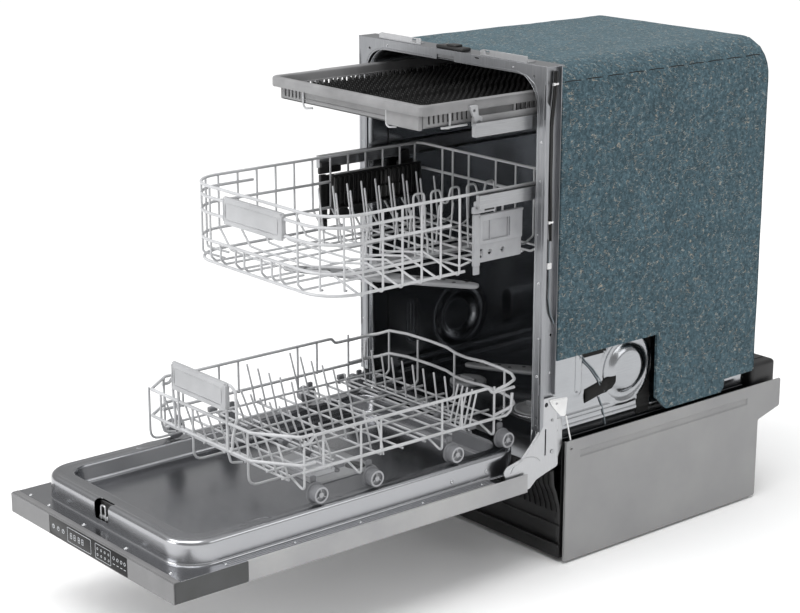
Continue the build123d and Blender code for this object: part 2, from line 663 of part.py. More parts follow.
# ---- cutlery tray ----
def make_tray():
    t = 2.0
    w = tray_half
    floor = block(-w, w, tray_y0, tray_y1, tray_low, tray_low + t)
    front = block(-w, w, tray_y0, tray_y0 + t, tray_low + t, tray_rim - 8.0)
    back = block(-w, w, tray_y1 - t, tray_y1, tray_low + t, tray_rim)
    side = block(w - t, w, tray_y0 + t, tray_y1 - t, tray_low + t, tray_rim)
    hanger = block(w, sliding_in, -118.0, 240.0, tray_rail[0] + 4.0, tray_low + 6.0)
    lip = block(w, w + tray_lip, tray_y0, tray_y1, tray_rim - t, tray_rim)
    add("tray_body", [floor, front, back] + mirrored([side, hanger, lip]))
    combs = []
    for x0, x1 in ((-w + 12, -40.0), (-30.0, 30.0), (40.0, w - 12)):
        combs.append(block(x0, x1, tray_y0 + 14, tray_y1 - 14, tray_low + t, tray_low + t + 2.5))
        count = 22
        for i in range(count):
            y = tray_y0 + 20 + (tray_y1 - tray_y0 - 44) * i / (count - 1)
            combs.append(block(x0 + 3, x1 - 3, y, y + 2.0, tray_low + t + 2.5, tray_low + t + 20.0))
    add("tray_inserts", combs)


# ---- leads on the outside ----
def make_leads():
    x = channel_x + sheet + 5.1
    path = [(x, 24, 806), (x, 23, 780), (x, 19, 752), (x, 15, 722), (x, 16, 690), (x, 15.5, 655),
            (x, 16.5, 622), (x, 18, 596), (x, 18.2, 566), (x, 19, 545)]
    thin = [(x - 2, 18.4, 544.9), (x - 2, 18, 512), (x - 2, 20, 480), (x - 2.2, 19, 452), (x - 2.4, 24, 428),
            (x - 2.6, 34, 410)]
    low_x = tub_half + 1.6
    short = [(low_x, 97, 348), (low_x, 112, 330), (low_x, 130, 313), (low_x, 146, 293), (low_x, 156, 272)]
    tubes = [lead(path, harness_r), lead(thin, thin_lead_r), lead(short, thin_lead_r)]
    add("wiring_harness", tubes)
    ties = []
    for y, z in ((23.2, 786.0), (18.1, 574.0)):
        ring = disc(x, y, z, harness_r + 1.1, 3.0) - disc(x, y, z - 1, harness_r + 0.7, 6.0)
        ties.append(ring)
    add("harness_ties", ties)
    heads = [rod((214.5, -1.0, z), (214.5, 0.0, z), 2.6) for z in (700.0, 480.0, 330.0)]
    add("frame_screws", mirrored(heads))


def lead(path, r):
    """A held cable: straight runs joined by tangent arcs."""
    radii = []
    for i in range(1, len(path) - 1):
        a = Vector(*path[i]) - Vector(*path[i - 1])
        b = Vector(*path[i + 1]) - Vector(*path[i])
        turn = math.radians(a.get_angle(b))
        radii.append(0.45 * min(a.length, b.length) / math.tan(turn / 2))
    route = FilletPolyline(*path, radius=radii)
    section = Plane(origin=path[0], z_dir=Vector(*path[1]) - Vector(*path[0])) * Circle(r)
    tube = sweep(section, path=route)
    expected = math.pi * r ** 2 * route.length
    print("lead length", round(route.length, 1), "volume ratio", round(tube.volume / expected, 4))
    print("lead radii", [round(r) for r in radii])
    return tube


make_tub()
make_frame()
make_brackets()
make_blanket()
make_base()
make_water()
make_rails()
make_door()
make_lower_rack()
make_upper_rack()
make_tray()
make_leads()

os.makedirs("parts", exist_ok=True)
for name, shape in nodes.items():
    export_step(shape, f"parts/{name}.step")
print(len(nodes), "nodes written")
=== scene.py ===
import math
import random

import bmesh
import bpy
from mathutils import Matrix, Vector, noise


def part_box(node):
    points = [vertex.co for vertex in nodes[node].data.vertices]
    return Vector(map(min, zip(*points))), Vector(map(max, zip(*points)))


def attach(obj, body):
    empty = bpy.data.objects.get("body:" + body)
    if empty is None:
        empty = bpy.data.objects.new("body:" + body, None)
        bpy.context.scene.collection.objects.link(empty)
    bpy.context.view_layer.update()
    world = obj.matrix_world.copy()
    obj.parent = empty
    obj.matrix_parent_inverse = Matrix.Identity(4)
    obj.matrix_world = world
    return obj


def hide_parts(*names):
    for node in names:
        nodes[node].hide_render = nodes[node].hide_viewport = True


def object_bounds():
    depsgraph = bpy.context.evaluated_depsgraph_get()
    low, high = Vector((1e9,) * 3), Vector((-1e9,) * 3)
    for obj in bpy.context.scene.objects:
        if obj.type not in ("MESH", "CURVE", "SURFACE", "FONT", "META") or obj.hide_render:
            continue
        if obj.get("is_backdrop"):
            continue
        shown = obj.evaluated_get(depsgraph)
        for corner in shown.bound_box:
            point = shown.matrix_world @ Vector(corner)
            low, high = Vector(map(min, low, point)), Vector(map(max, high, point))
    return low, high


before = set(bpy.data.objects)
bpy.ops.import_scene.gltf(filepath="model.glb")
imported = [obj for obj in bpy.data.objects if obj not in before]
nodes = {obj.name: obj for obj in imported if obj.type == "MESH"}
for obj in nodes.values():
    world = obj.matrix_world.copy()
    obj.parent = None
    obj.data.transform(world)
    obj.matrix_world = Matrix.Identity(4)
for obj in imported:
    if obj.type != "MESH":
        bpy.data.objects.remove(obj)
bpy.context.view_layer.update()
random.seed(7)

# Everything below is placed in the machine's own millimetres: x to the right, y from the front
# frame to the back, z up from the floor. at() turns them into the shared frame's metres.
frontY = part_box("front_frame")[0].y
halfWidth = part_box("front_frame")[1].x * 1000
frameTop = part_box("front_frame")[1].z * 1000


def at(x, y, z):
    return Vector((x / 1000, frontY + y / 1000, z / 1000))


# helpers for shapes

def linkObject(name, data):
    obj = bpy.data.objects.new(name, data)
    bpy.context.scene.collection.objects.link(obj)
    return obj


def finishPiece(obj, body, material, slotName=None, stands=()):
    obj.data.materials.clear()
    obj.data.materials.append(material)
    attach(obj, body)
    if stands:
        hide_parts(*stands)
    return obj


def finishSet(name, pieces, *finish):
    # joins pieces into one object and finishes it as finishPiece does
    return finishPiece(joinPieces(name, pieces), *finish)


def meshPiece(name, points, faces, smooth=True):
    mesh = bpy.data.meshes.new(name)
    mesh.from_pydata([at(*p) for p in points], [], faces)
    mesh.update()
    if smooth:
        mesh.polygons.foreach_set("use_smooth", [True] * len(mesh.polygons))
    return linkObject(name, mesh)


def applyModifiers(obj):
    bpy.context.view_layer.update()
    depsgraph = bpy.context.evaluated_depsgraph_get()
    mesh = bpy.data.meshes.new_from_object(obj.evaluated_get(depsgraph))
    old = obj.data
    if obj.type == "MESH":
        obj.modifiers.clear()
        obj.data = mesh
        return obj
    name = obj.name
    bpy.data.objects.remove(obj)
    bpy.data.curves.remove(old)
    return linkObject(name, mesh)


def addBevel(obj, width, segments=2, angle=40):
    bevel = obj.modifiers.new("bevel", "BEVEL")
    bevel.width = width / 1000
    bevel.segments = segments
    bevel.limit_method = "ANGLE"
    bevel.angle_limit = math.radians(angle)
    bevel.harden_normals = False
    return bevel


def shadeByAngle(obj, angle=35):
    limit = math.radians(angle)
    mesh = obj.data
    bm = bmesh.new()
    bm.from_mesh(mesh)
    for face in bm.faces:
        face.smooth = True
    for edge in bm.edges:
        edge.smooth = not (len(edge.link_faces) == 2 and edge.calc_face_angle(0) > limit)
    bm.to_mesh(mesh)
    bm.free()
    return obj


def roundCorners(points, radius, steps=4, closed=False):
    # replaces each corner of a run with an arc, as a bent wire has
    made = []
    count = len(points)
    for i, p in enumerate(points):
        p = Vector(p)
        if not closed and i in (0, count - 1):
            made.append(p)
            continue
        a = Vector(points[i - 1]) - p
        b = Vector(points[(i + 1) % count]) - p
        la, lb = a.length, b.length
        a.normalize()
        b.normalize()
        turn = math.pi - a.angle(b, math.pi)
        if turn < 0.05:
            made.append(p)
            continue
        reach = min(radius * math.tan(turn / 2), la * 0.48, lb * 0.48)
        start, end = p + a * reach, p + b * reach
        for k in range(steps + 1):
            t = k / steps
            made.append(start.lerp(p, t).lerp(p.lerp(end, t), t))
    return made


def wireSet(name, runs, thick, bend=8, rings=3):
    # one curve object holding many bent wires; each run is (points, closed, roundTip)
    curve = bpy.data.curves.new(name, "CURVE")
    curve.dimensions = "3D"
    curve.bevel_depth = thick / 1000
    curve.bevel_resolution = rings
    curve.use_fill_caps = True
    for run in runs:
        if not isinstance(run, tuple):
            run = (run,)
        points, closed, tip = (*run, False, False)[:3]
        path = roundCorners(points, bend, 4, closed)
        radii = [1.0] * len(path)
        if tip:
            last, before = path[-1], path[-2]
            back = (before - last).normalized() * thick
            path = path[:-1] + [last + back, last + back * 0.45, last + back * 0.12, last]
            radii = [1.0] * (len(path) - 3) + [0.84, 0.48, 0.05]
        spline = curve.splines.new("POLY")
        spline.points.add(len(path) - 1)
        for point, place, radius in zip(spline.points, path, radii):
            point.co = (*at(*place), 1)
            point.radius = radius
        spline.use_cyclic_u = closed
    return linkObject(name, curve)


def wireMesh(*wire):
    return applyModifiers(wireSet(*wire))


def roundedLoop(half, y0, y1, radius, steps=8):
    # a rounded rectangle about the middle plane, always with the same number of points
    return roundedOutline(-half, half, y0, y1, radius, steps)


def loftLoops(name, loops, capFirst=False, capLast=True):
    # skins a list of equal-length loops of (x, y, z)
    points = [p for loop in loops for p in loop]
    size = len(loops[0])
    faces = []
    for k in range(len(loops) - 1):
        for i in range(size):
            j = (i + 1) % size
            faces.append((k * size + i, k * size + j, (k + 1) * size + j, (k + 1) * size + i))
    if capFirst:
        faces.append(tuple(reversed(range(size))))
    if capLast:
        faces.append(tuple((len(loops) - 1) * size + i for i in range(size)))
    return meshPiece(name, points, faces)


def latheX(name, centre, profile, steps=40):
    # turns a profile of (x offset, radius) about a line along x
    cx, cy, cz = centre
    loops = [[(cx + dx, y, z) for y, z in circleOutline(cy, cz, r, steps)] for dx, r in profile]
    return loftLoops(name, loops, capFirst=True, capLast=True)


def latheZ(name, centre, profile, steps=40):
    # turns a profile of (radius, height) about an upright line
    cx, cy, cz = centre
    loops = [[(x, y, cz + dz) for x, y in circleOutline(cx, cy, r, steps)] for r, dz in profile]
    return loftLoops(name, loops, capFirst=True, capLast=True)


def plateShape(name, plane, level, outlines, thick, edge=0.3, bendSteps=2):
    # a flat sheet with holes, cut from closed outlines; plane is "xz", "yz" or "xy"
    curve = bpy.data.curves.new(name, "CURVE")
    curve.dimensions = "2D"
    curve.fill_mode = "BOTH"
    curve.extrude = max(thick / 2 - edge, 0.01) / 1000
    curve.bevel_depth = edge / 1000
    curve.bevel_resolution = bendSteps
    curve.offset = -edge / 1000
    for outline in outlines:
        spline = curve.splines.new("POLY")
        spline.points.add(len(outline) - 1)
        for point, (a, b) in zip(spline.points, outline):
            point.co = (a / 1000, b / 1000, 0, 1)
        spline.use_cyclic_u = True
    obj = linkObject(name, curve)
    middle = (level + thick / 2) / 1000
    if plane == "xz":
        turn = Matrix(((1, 0, 0, 0), (0, 0, 1, frontY + middle), (0, 1, 0, 0), (0, 0, 0, 1)))
    elif plane == "yz":
        turn = Matrix(((0, 0, 1, middle), (1, 0, 0, frontY), (0, 1, 0, 0), (0, 0, 0, 1)))
    else:
        turn = Matrix(((1, 0, 0, 0), (0, 1, 0, frontY), (0, 0, 1, middle), (0, 0, 0, 1)))
    obj = applyModifiers(obj)
    obj.data.transform(turn)
    if turn.determinant() < 0:
        obj.data.flip_normals()
    return shadeByAngle(obj)


def circleOutline(cx, cy, r, steps=24):
    turns = [2 * math.pi * i / steps for i in range(steps)]
    return [(cx + r * math.cos(turn), cy + r * math.sin(turn)) for turn in turns]


def pillOutline(a0, a1, b0, b1, steps=8):
    r = min(a1 - a0, b1 - b0) / 2
    return roundedOutline(a0, a1, b0, b1, r * 0.999, steps)


def roundedOutline(a0, a1, b0, b1, r, steps=5):
    made = []
    corners = ((a0 + r, b0 + r, 180), (a1 - r, b0 + r, 270), (a1 - r, b1 - r, 0), (a0 + r, b1 - r, 90))
    for cx, cy, start in corners:
        for i in range(steps + 1):
            turn = math.radians(start + 90 * i / steps)
            made.append((cx + r * math.cos(turn), cy + r * math.sin(turn)))
    return made


def softenOutline(points, radius, steps=5):
    return [(p.x, p.y) for p in roundCorners([(a, b, 0) for a, b in points], radius, steps, closed=True)]


def blockPiece(name, x0, x1, y0, y1, z0, z1, edge=1.0, segments=3):
    # a moulded or folded box with worn, rounded edges
    points = [(x, y, z) for x in (x0, x1) for y in (y0, y1) for z in (z0, z1)]
    faces = [(0, 1, 3, 2), (4, 6, 7, 5), (0, 4, 5, 1), (2, 3, 7, 6), (0, 2, 6, 4), (1, 5, 7, 3)]
    obj = meshPiece(name, points, faces, smooth=False)
    addBevel(obj, edge, segments)
    return shadeByAngle(applyModifiers(obj), 50)


def sideBlock(name, side, a, b, *rest):
    # a block between two distances from the middle plane, on the side given as -1 or 1
    return blockPiece(name, *sorted((side * a, side * b)), *rest)


def ringBlocks(name, x, y, r, half, low, high, count):
    # small upright blocks spread round a circle
    made = []
    for cx, cy in circleOutline(x, y, r, count):
        made.append(blockPiece(name, cx - half, cx + half, cy - half, cy + half, low, high, 0.4, 1))
    return made


def joinPieces(name, pieces):
    bm = bmesh.new()
    for piece in pieces:
        other = bmesh.new()
        other.from_mesh(piece.data)
        other.transform(piece.matrix_world)
        holder = bpy.data.meshes.new("holder")
        other.to_mesh(holder)
        bm.from_mesh(holder)
        other.free()
        bpy.data.meshes.remove(holder)
    mesh = bpy.data.meshes.new(name)
    bm.to_mesh(mesh)
    bm.free()
    for piece in pieces:
        data = piece.data
        bpy.data.objects.remove(piece)
        bpy.data.meshes.remove(data)
    return linkObject(name, mesh)


def gridSheet(name, rows, thick, inward=True):
    # a sheet of metal or felt through rows of equal length
    height, width = len(rows), len(rows[0])
    points = [p for row in rows for p in row]
    faces = []
    for i in range(height - 1):
        for j in range(width - 1):
            a = i * width + j
            faces.append((a, a + 1, a + width + 1, a + width))
    obj = meshPiece(name, points, faces)
    solid = obj.modifiers.new("thickness", "SOLIDIFY")
    solid.thickness = thick / 1000
    solid.offset = -1 if inward else 1
    return applyModifiers(obj)


def turnFacesOut(obj):
    bm = bmesh.new()
    bm.from_mesh(obj.data)
    bmesh.ops.recalc_face_normals(bm, faces=bm.faces)
    bm.to_mesh(obj.data)
    bm.free()


def cornerInset(z, top, corner):
    # how far a rounded top corner draws a sheet's edge in at a height
    if z <= top - corner:
        return 0.0
    return corner - math.sqrt(max(corner ** 2 - (z - (top - corner)) ** 2, 0))


def smoothStep(t):
    t = max(0.0, min(1.0, t))
    return t * t * (3 - 2 * t)


# materials

def hexColour(text):
    made = []
    for i in (0, 2, 4):
        c = int(text[i:i + 2], 16) / 255
        made.append(c / 12.92 if c <= 0.04045 else ((c + 0.055) / 1.055) ** 2.4)
    return (*made, 1.0)


def addNode(material, kind, inputs=(), **settings):
    # adds one node; inputs are (socket, value or output socket) pairs
    node = material.node_tree.nodes.new(kind)
    for key, value in settings.items():
        setattr(node, key, value)
    for key, value in inputs:
        if isinstance(value, bpy.types.NodeSocket):
            material.node_tree.links.new(value, node.inputs[key])
        else:
            node.inputs[key].default_value = value
    return node


def addNoise(material, vector, size, detail, roughness=0.5):
    # noise whose lumps are about size millimetres across
    return addNode(material, "ShaderNodeTexNoise", [("Vector", vector), ("Scale", 1000 / size),
            ("Detail", detail), ("Roughness", roughness)])


def startMaterial(name, **values):
    material = bpy.data.materials.new(name)
    material.use_nodes = True
    shader = material.node_tree.nodes["Principled BSDF"]
    for key, value in values.items():
        shader.inputs[key.replace("_", " ")].default_value = value
    place = addNode(material, "ShaderNodeTexCoord").outputs["Object"]
    return material, shader, place


def rampColours(material, factor, stops):
    ramp = addNode(material, "ShaderNodeValToRGB", [("Fac", factor)])
    elements = ramp.color_ramp.elements
    while len(elements) < len(stops):
        elements.new(0.5)
    for element, (spot, colour) in zip(elements, stops):
        element.position = spot
        element.color = colour if isinstance(colour, tuple) else hexColour(colour)
    return ramp.outputs["Color"]


def grey(value):
    return (value, value, value, 1.0)


def linkShader(material, shader, **links):
    for key, output in links.items():
        material.node_tree.links.new(output, shader.inputs[key.replace("_", " ")])


def addBump(material, shader, height, strength, distance):
    bump = addNode(material, "ShaderNodeBump", [("Height", height), ("Strength", strength),
            ("Distance", distance)])
    material.node_tree.links.new(bump.outputs["Normal"], shader.inputs["Normal"])
    return bump


def needledFelt():
    # needle-punched recycled felt: short pale and brown fibres on a blue-grey mat, fully matte
    fibre = 1.6  # mm, drawn coarser than the real 0.05 mm fibre so that it shows
    material, shader, place = startMaterial("needledFelt", Roughness=0.95)
    shader.inputs["Specular IOR Level"].default_value = 0.15
    shader.inputs["Sheen Weight"].default_value = 0.35
    shader.inputs["Sheen Roughness"].default_value = 0.5
    shader.inputs["Sheen Tint"].default_value = hexColour("a9bcc2")
    cloud = addNoise(material, place, 42, 5.0)
    speck = addNoise(material, place, fibre * 3, 8.0, 0.75)
    bent = addNoise(material, place, 18, 2.0)
    mixed = addNode(material, "ShaderNodeVectorMath", [(0, bent.outputs["Color"]), ("Scale", 0.012)],
                    operation="SCALE")
    curled = addNode(material, "ShaderNodeVectorMath", [(0, place), (1, mixed.outputs[0])],
                     operation="ADD")
    stretched = addNode(material, "ShaderNodeMapping", [("Vector", curled.outputs[0]),
            ("Scale", (1.0, 0.45, 1.9)), ("Rotation", (0.7, 0.3, 0.2))])
    strands = addNode(material, "ShaderNodeTexVoronoi", [("Vector", stretched.outputs[0]),
            ("Scale", 1000 / (fibre * 4))], feature="DISTANCE_TO_EDGE")
    thin = addNode(material, "ShaderNodeMapRange", [("Value", strands.outputs["Distance"]),
            ("From Min", 0.0), ("From Max", 0.07), ("To Min", 1.0), ("To Max", 0.0)])
    base = rampColours(material, speck.outputs["Fac"], [(0.30, "1b262b"), (0.45, "33454d"),
            (0.58, "4b616a"), (0.78, "8fa4ab")])
    tint = addNode(material, "ShaderNodeMixRGB", [("Fac", 0.35), ("Color1", base),
            ("Color2", hexColour("4f6168"))], blend_type="OVERLAY")
    material.node_tree.links.new(rampColours(material, cloud.outputs["Fac"],
            [(0.35, grey(0.35)), (0.65, grey(0.62))]), tint.inputs["Color2"])
    gate = addNoise(material, place, 9, 2.0)
    few = addNode(material, "ShaderNodeMapRange", [("Value", gate.outputs["Fac"]), ("From Min", 0.50),
            ("From Max", 0.60)])
    fleck = addNode(material, "ShaderNodeMath", [(0, thin.outputs[0]), (1, few.outputs[0])],
                    operation="MULTIPLY")
    fleckTone = rampColours(material, gate.outputs["Color"], [(0.40, "8d9799"), (0.62, "a79c8c")])
    colour = addNode(material, "ShaderNodeMixRGB", [("Fac", fleck.outputs[0]),
            ("Color1", tint.outputs[0]), ("Color2", fleckTone)])
    linkShader(material, shader, Base_Color=colour.outputs[0])
    lump = addNode(material, "ShaderNodeMath", [(0, speck.outputs["Fac"]), (1, fleck.outputs[0])],
                   operation="ADD")
    addBump(material, shader, lump.outputs[0], 0.75, 0.0011)
    return material


def brushedSheet(name, light, dark, rough, grain=(1.0, 60.0, 60.0), wear=0.05, metallic=1.0):
    # rolled stainless sheet: fine grain along one direction, broad soft tone changes, a few dull smears
    grainWidth = 0.6  # mm, coarser than real rolling grain so that it reads
    material, shader, place = startMaterial(name, Metallic=metallic, Roughness=rough)
    run = addNode(material, "ShaderNodeMapping", [("Vector", place), ("Scale", grain)])
    lines = addNoise(material, run.outputs[0], grainWidth * 60, 6.0, 0.6)
    broad = addNoise(material, place, 160, 3.0)
    tone = addNode(material, "ShaderNodeMixRGB", [("Fac", 0.35), ("Color1", lines.outputs["Fac"]),
            ("Color2", broad.outputs["Fac"])])
    colour = rampColours(material, tone.outputs[0], [(0.32, dark), (0.68, light)])
    rub = addNode(material, "ShaderNodeMapRange", [("Value", tone.outputs[0]), ("From Min", 0.3),
            ("From Max", 0.7), ("To Min", rough - wear), ("To Max", rough + wear)])
    linkShader(material, shader, Base_Color=colour, Roughness=rub.outputs[0])
    addBump(material, shader, lines.outputs["Fac"], 0.05, 0.0001)
    return material


def paintedSteel(name, light, dark, rough):
    # powder-coated or zinc-grey sheet: faint orange peel and slight soiling
    peel = 2.2  # mm between orange-peel bumps
    material, shader, place = startMaterial(name, Metallic=0.2, Roughness=rough)
    fine = addNoise(material, place, peel, 2.0)
    broad = addNoise(material, place, 120, 4.0)
    colour = rampColours(material, broad.outputs["Fac"], [(0.35, dark), (0.65, light)])
    rub = addNode(material, "ShaderNodeMapRange", [("Value", broad.outputs["Fac"]),
            ("To Min", rough - 0.06), ("To Max", rough + 0.1)])
    linkShader(material, shader, Base_Color=colour, Roughness=rub.outputs[0])
    addBump(material, shader, fine.outputs["Fac"], 0.1, 0.0002)
    return material


def mouldedPlastic(name, light, dark, rough, grainSize=0.7, grain=0.12, specular=0.5):
    # injection-moulded plastic with a spark-eroded grain and faint tone drift
    material, shader, place = startMaterial(name, Roughness=rough)
    shader.inputs["Specular IOR Level"].default_value = specular
    fine = addNoise(material, place, grainSize, 3.0)
    broad = addNoise(material, place, 60, 4.0)
    colour = rampColours(material, broad.outputs["Fac"], [(0.35, dark), (0.65, light)])
    rub = addNode(material, "ShaderNodeMapRange", [("Value", broad.outputs["Fac"]),
            ("To Min", rough - 0.06), ("To Max", rough + 0.08)])
    linkShader(material, shader, Base_Color=colour, Roughness=rub.outputs[0])
    addBump(material, shader, fine.outputs["Fac"], grain, 0.0002)
    return material


def smokedGlass():
    # smoked acrylic window: deep black with a faint haze and no bright mirror
    material, shader, place = startMaterial("blackAcrylic", Roughness=0.3)
    shader.inputs["Specular IOR Level"].default_value = 0.2
    haze = addNoise(material, place, 30, 6.0)
    colour = rampColours(material, haze.outputs["Fac"], [(0.4, "060607"), (0.7, "0c0c0d")])
    rub = addNode(material, "ShaderNodeMapRange", [("Value", haze.outputs["Fac"]), ("To Min", 0.24),
            ("To Max", 0.36)])
    linkShader(material, shader, Base_Color=colour, Roughness=rub.outputs[0])
    return material


felt = needledFelt()
tubSteel = brushedSheet("rolledStainlessTub", "b0b2b5", "9a9c9f", 0.2, (60, 1, 60), 0.04)
frameSteel = brushedSheet("rolledStainlessFrame", "a2a3a6", "86888b", 0.38, (60, 60, 1), 0.05)
linerSteel = brushedSheet("pressedStainlessDoor", "acadb0", "9c9da0", 0.22, (1, 60, 60), 0.03)
zincSteel = brushedSheet("brightZincPlate", "c2c3c5", "b0b1b3", 0.36, (60, 60, 2), 0.04)
railSteel = brushedSheet("rolledRailSteel", "a9aaac", "8b8c8e", 0.3, (60, 1, 60), 0.05)
screwSteel = brushedSheet("nickelledScrew", "d2d3d5", "aeb0b2", 0.2, (20, 20, 20), 0.05)
springSteel = brushedSheet("drawnSpringWire", "8d8d8f", "6f6f71", 0.35, (20, 20, 20), 0.05)
sidePaint = paintedSteel("greyZincSheet", "949494", "8a8a8b", 0.42)
doorPaint = paintedSteel("lightZincSheet", "a8a8a8", "98989a", 0.45)
nylonWire = mouldedPlastic("polyamideCoatedWire", "bdbec0", "acadaf", 0.34, 1.2, 0.05)
handleGrey = mouldedPlastic("polypropyleneLightGrey", "a8a9ab", "9c9d9f", 0.48)
trayGrey = mouldedPlastic("polypropyleneGrey", "8b8b8c", "767677", 0.45)
wheelGrey = mouldedPlastic("acetalGrey", "77787b", "626366", 0.42)
hubGrey = mouldedPlastic("acetalPaleGrey", "a2a3a6", "8d8e91", 0.4)
innerGrey = mouldedPlastic("polypropyleneMidGrey", "8f9092", "7c7d7f", 0.42)
blackComb = mouldedPlastic("polypropyleneBlack", "191919", "0d0d0d", 0.42)
basePlastic = mouldedPlastic("recycledBlackPolypropylene", "161617", "0a0a0b", 0.4)
fasciaGrey = mouldedPlastic("silverLacqueredAbs", "747475", "69696a", 0.46, 0.5, 0.08)
capGrey = mouldedPlastic("darkGreyAbs", "474849", "3d3e3e", 0.5)
whiteNylon = mouldedPlastic("whiteNylon", "ececec", "dadada", 0.42)
rubber = mouldedPlastic("epdmRubber", "141414", "0a0a0a", 0.7, 1.5, 0.2, 0.3)
cableBlack = mouldedPlastic("pvcSleeveBlack", "161616", "0b0b0b", 0.5, 2.0, 0.15)
leadGrey = mouldedPlastic("pvcLeadGrey", "7d868c", "6a7278", 0.45)
castIron = mouldedPlastic("castIronPaint", "2a2a2b", "1d1d1e", 0.65, 1.6, 0.3)
printWhite = mouldedPlastic("screenPrintWhite", "c9ccd0", "b9bcc0", 0.5)
printDark = mouldedPlastic("screenPrintDark", "3e3f41", "333436", 0.55)
displayGlass = smokedGlass()
print("materials made")

# the felt blanket round the tub

blanket = {"half": 218.6, "top": 808, "corner": 58, "thick": 5.0, "front": 36.2, "back": 517,
           "hemFront": 350, "tongueFrom": 265, "tongueTo": 435, "hemTongue": 216, "hemRear": 238}


def makeBlanket(p):
    half, top, corner = p["half"], p["top"], p["corner"]
    depths = [p["front"] + i * 8 for i in range(28)] + [p["tongueFrom"] - 1, p["tongueFrom"] + 1]
    depths += [p["tongueFrom"] + 9 + i * 9 for i in range(18)] + [p["tongueTo"] - 1, p["tongueTo"] + 1]
    depths += [p["tongueTo"] + 9 + i * 8 for i in range(10)]
    depths = sorted(d for d in depths if d <= p["back"] - 6)

    def hem(y):
        if y < p["tongueFrom"]:
            return p["hemFront"]
        if y <= p["tongueTo"]:
            frontCurve = 24 * (1 - smoothStep((y - p["tongueFrom"]) / 30))
            rearCurve = 8 * (1 - smoothStep((p["tongueTo"] - y) / 8))
            return p["hemTongue"] + frontCurve + rearCurve
        return p["hemRear"]

    def archAt(y):
        made = []
        sideTop = top - corner
        steps = 60
        for i in range(steps):
            made.append((-half, sideTop - (sideTop - hem(y)) * (1 - i / steps), -1, 0))
        for i in range(17):
            turn = math.radians(180 - 90 * i / 16)
            made.append((-half + corner + corner * math.cos(turn), sideTop + corner * math.sin(turn),
                         math.cos(turn), math.sin(turn)))
        flat = 2 * (half - corner)
        for i in range(1, 40):
            made.append((-half + corner + flat * i / 40, top, 0, 1))
        for i in range(17):
            turn = math.radians(90 - 90 * i / 16)
            made.append((half - corner + corner * math.cos(turn), sideTop + corner * math.sin(turn),
                         math.cos(turn), math.sin(turn)))
        for i in range(1, steps + 1):
            made.append((half, sideTop - (sideTop - hem(y)) * i / steps, 1, 0))
        return made

    def lumpy(x, y, z, nx, nz):
        sag = 0.9 * noise.noise(Vector((x, y, z)) * 0.012) + 0.35 * noise.noise(Vector((x, y, z)) * 0.05)
        push = sag - 0.9
        return (x + nx * push, y, z + nz * push)

    rows = [[lumpy(x, y, z, nx, nz) for x, z, nx, nz in archAt(y)] for y in depths]
    outer = gridSheet("feltWrap", rows, p["thick"], inward=False)
    turnFacesOut(outer)
    shadeByAngle(outer, 50)

    backRows = []
    for i in range(48):
        z = p["hemRear"] + (top - 2 - p["hemRear"]) * i / 47
        reach = half - 1.5 - cornerInset(z, top, corner)
        row = []
        for j in range(37):
            x = -reach + 2 * reach * j / 36
            curl = 5 * smoothStep((abs(x) - reach + 9) / 9) + 5 * smoothStep((z - top + 11) / 11)
            row.append((x, p["back"] - 1.2 - min(curl, 6) + 0.7 * noise.noise(Vector((x, z, 3)) * 0.02),
                        z))
        backRows.append(row)
    back = gridSheet("feltBack", backRows, p["thick"])
    shadeByAngle(back, 50)
    whole = joinPieces("insulationFelt", [outer, back])
    finishPiece(whole, "cabinet", felt, "felt_blue", ["insulation_blanket"])
    return whole


makeBlanket(blanket)

# the die-cut slits near the blanket's top edge: thin black tubes with a raised lip, painted shade for the
# dark inside each cut
slits = {"z": 787, "length": 34, "gap": 12, "from": 44, "to": 470}


def makeSlitShade(p):
    runs = []
    y = p["from"]
    while y < p["to"]:
        for side in (-1, 1):
            x = side * (blanket["half"] - 0.9)
            runs.append([(x, y, p["z"]), (x, y + p["length"] * 0.5, p["z"] + 0.7),
                         (x, y + p["length"], p["z"] - 0.3)])
        y += p["length"] + p["gap"]
    # painted shade: black tubes stand for the dark gap of each slit
    slitShade = wireSet("feltSlitShade", runs, 0.8, 3, 2)
    finishPiece(slitShade, "cabinet", rubber)


makeSlitShade(slits)
print("felt made")

# the steel tub

tub = {"half": 201.9, "top": 798.9, "corner": 50, "front": 2, "back": 508, "low": 208, "sheet": 1.1}
dome = {"y": 210, "z": 300, "r": 44, "rise": 8.5, "ring": 56}
ridge = {"y": 99, "z0": 284, "z1": 345, "half": 7, "rise": 3.0}


def sidePress(y, z):
    # how far the side wall is pressed outwards at a place
    d = math.hypot(y - dome["y"], z - dome["z"])
    out = dome["rise"] * smoothStep((dome["r"] - d) / 15)
    out += 2.6 * math.exp(-((d - dome["ring"]) / 4.0) ** 2)
    foot = ridge["z0"]
    if z < foot:
        away = abs(math.hypot(y - ridge["y"], z - foot) - ridge["half"])
    else:
        away = abs(abs(y - ridge["y"]) - ridge["half"]) if z < ridge["z1"] else 99
    out += ridge["rise"] * math.exp(-(away / 2.4) ** 2)
    for line in (226, 243):
        crease = 2.2 * math.exp(-((z - line) / 3.0) ** 2)
        out += crease * smoothStep((y - 60) / 20) * smoothStep((488 - y) / 20)
    wedge = smoothStep((y - 318) / 8) * smoothStep((470 - y) / 30)
    wedge = wedge * smoothStep((z - 262) / 8) * smoothStep((330 - z) / 14)
    return out - 5.0 * wedge * 0.6


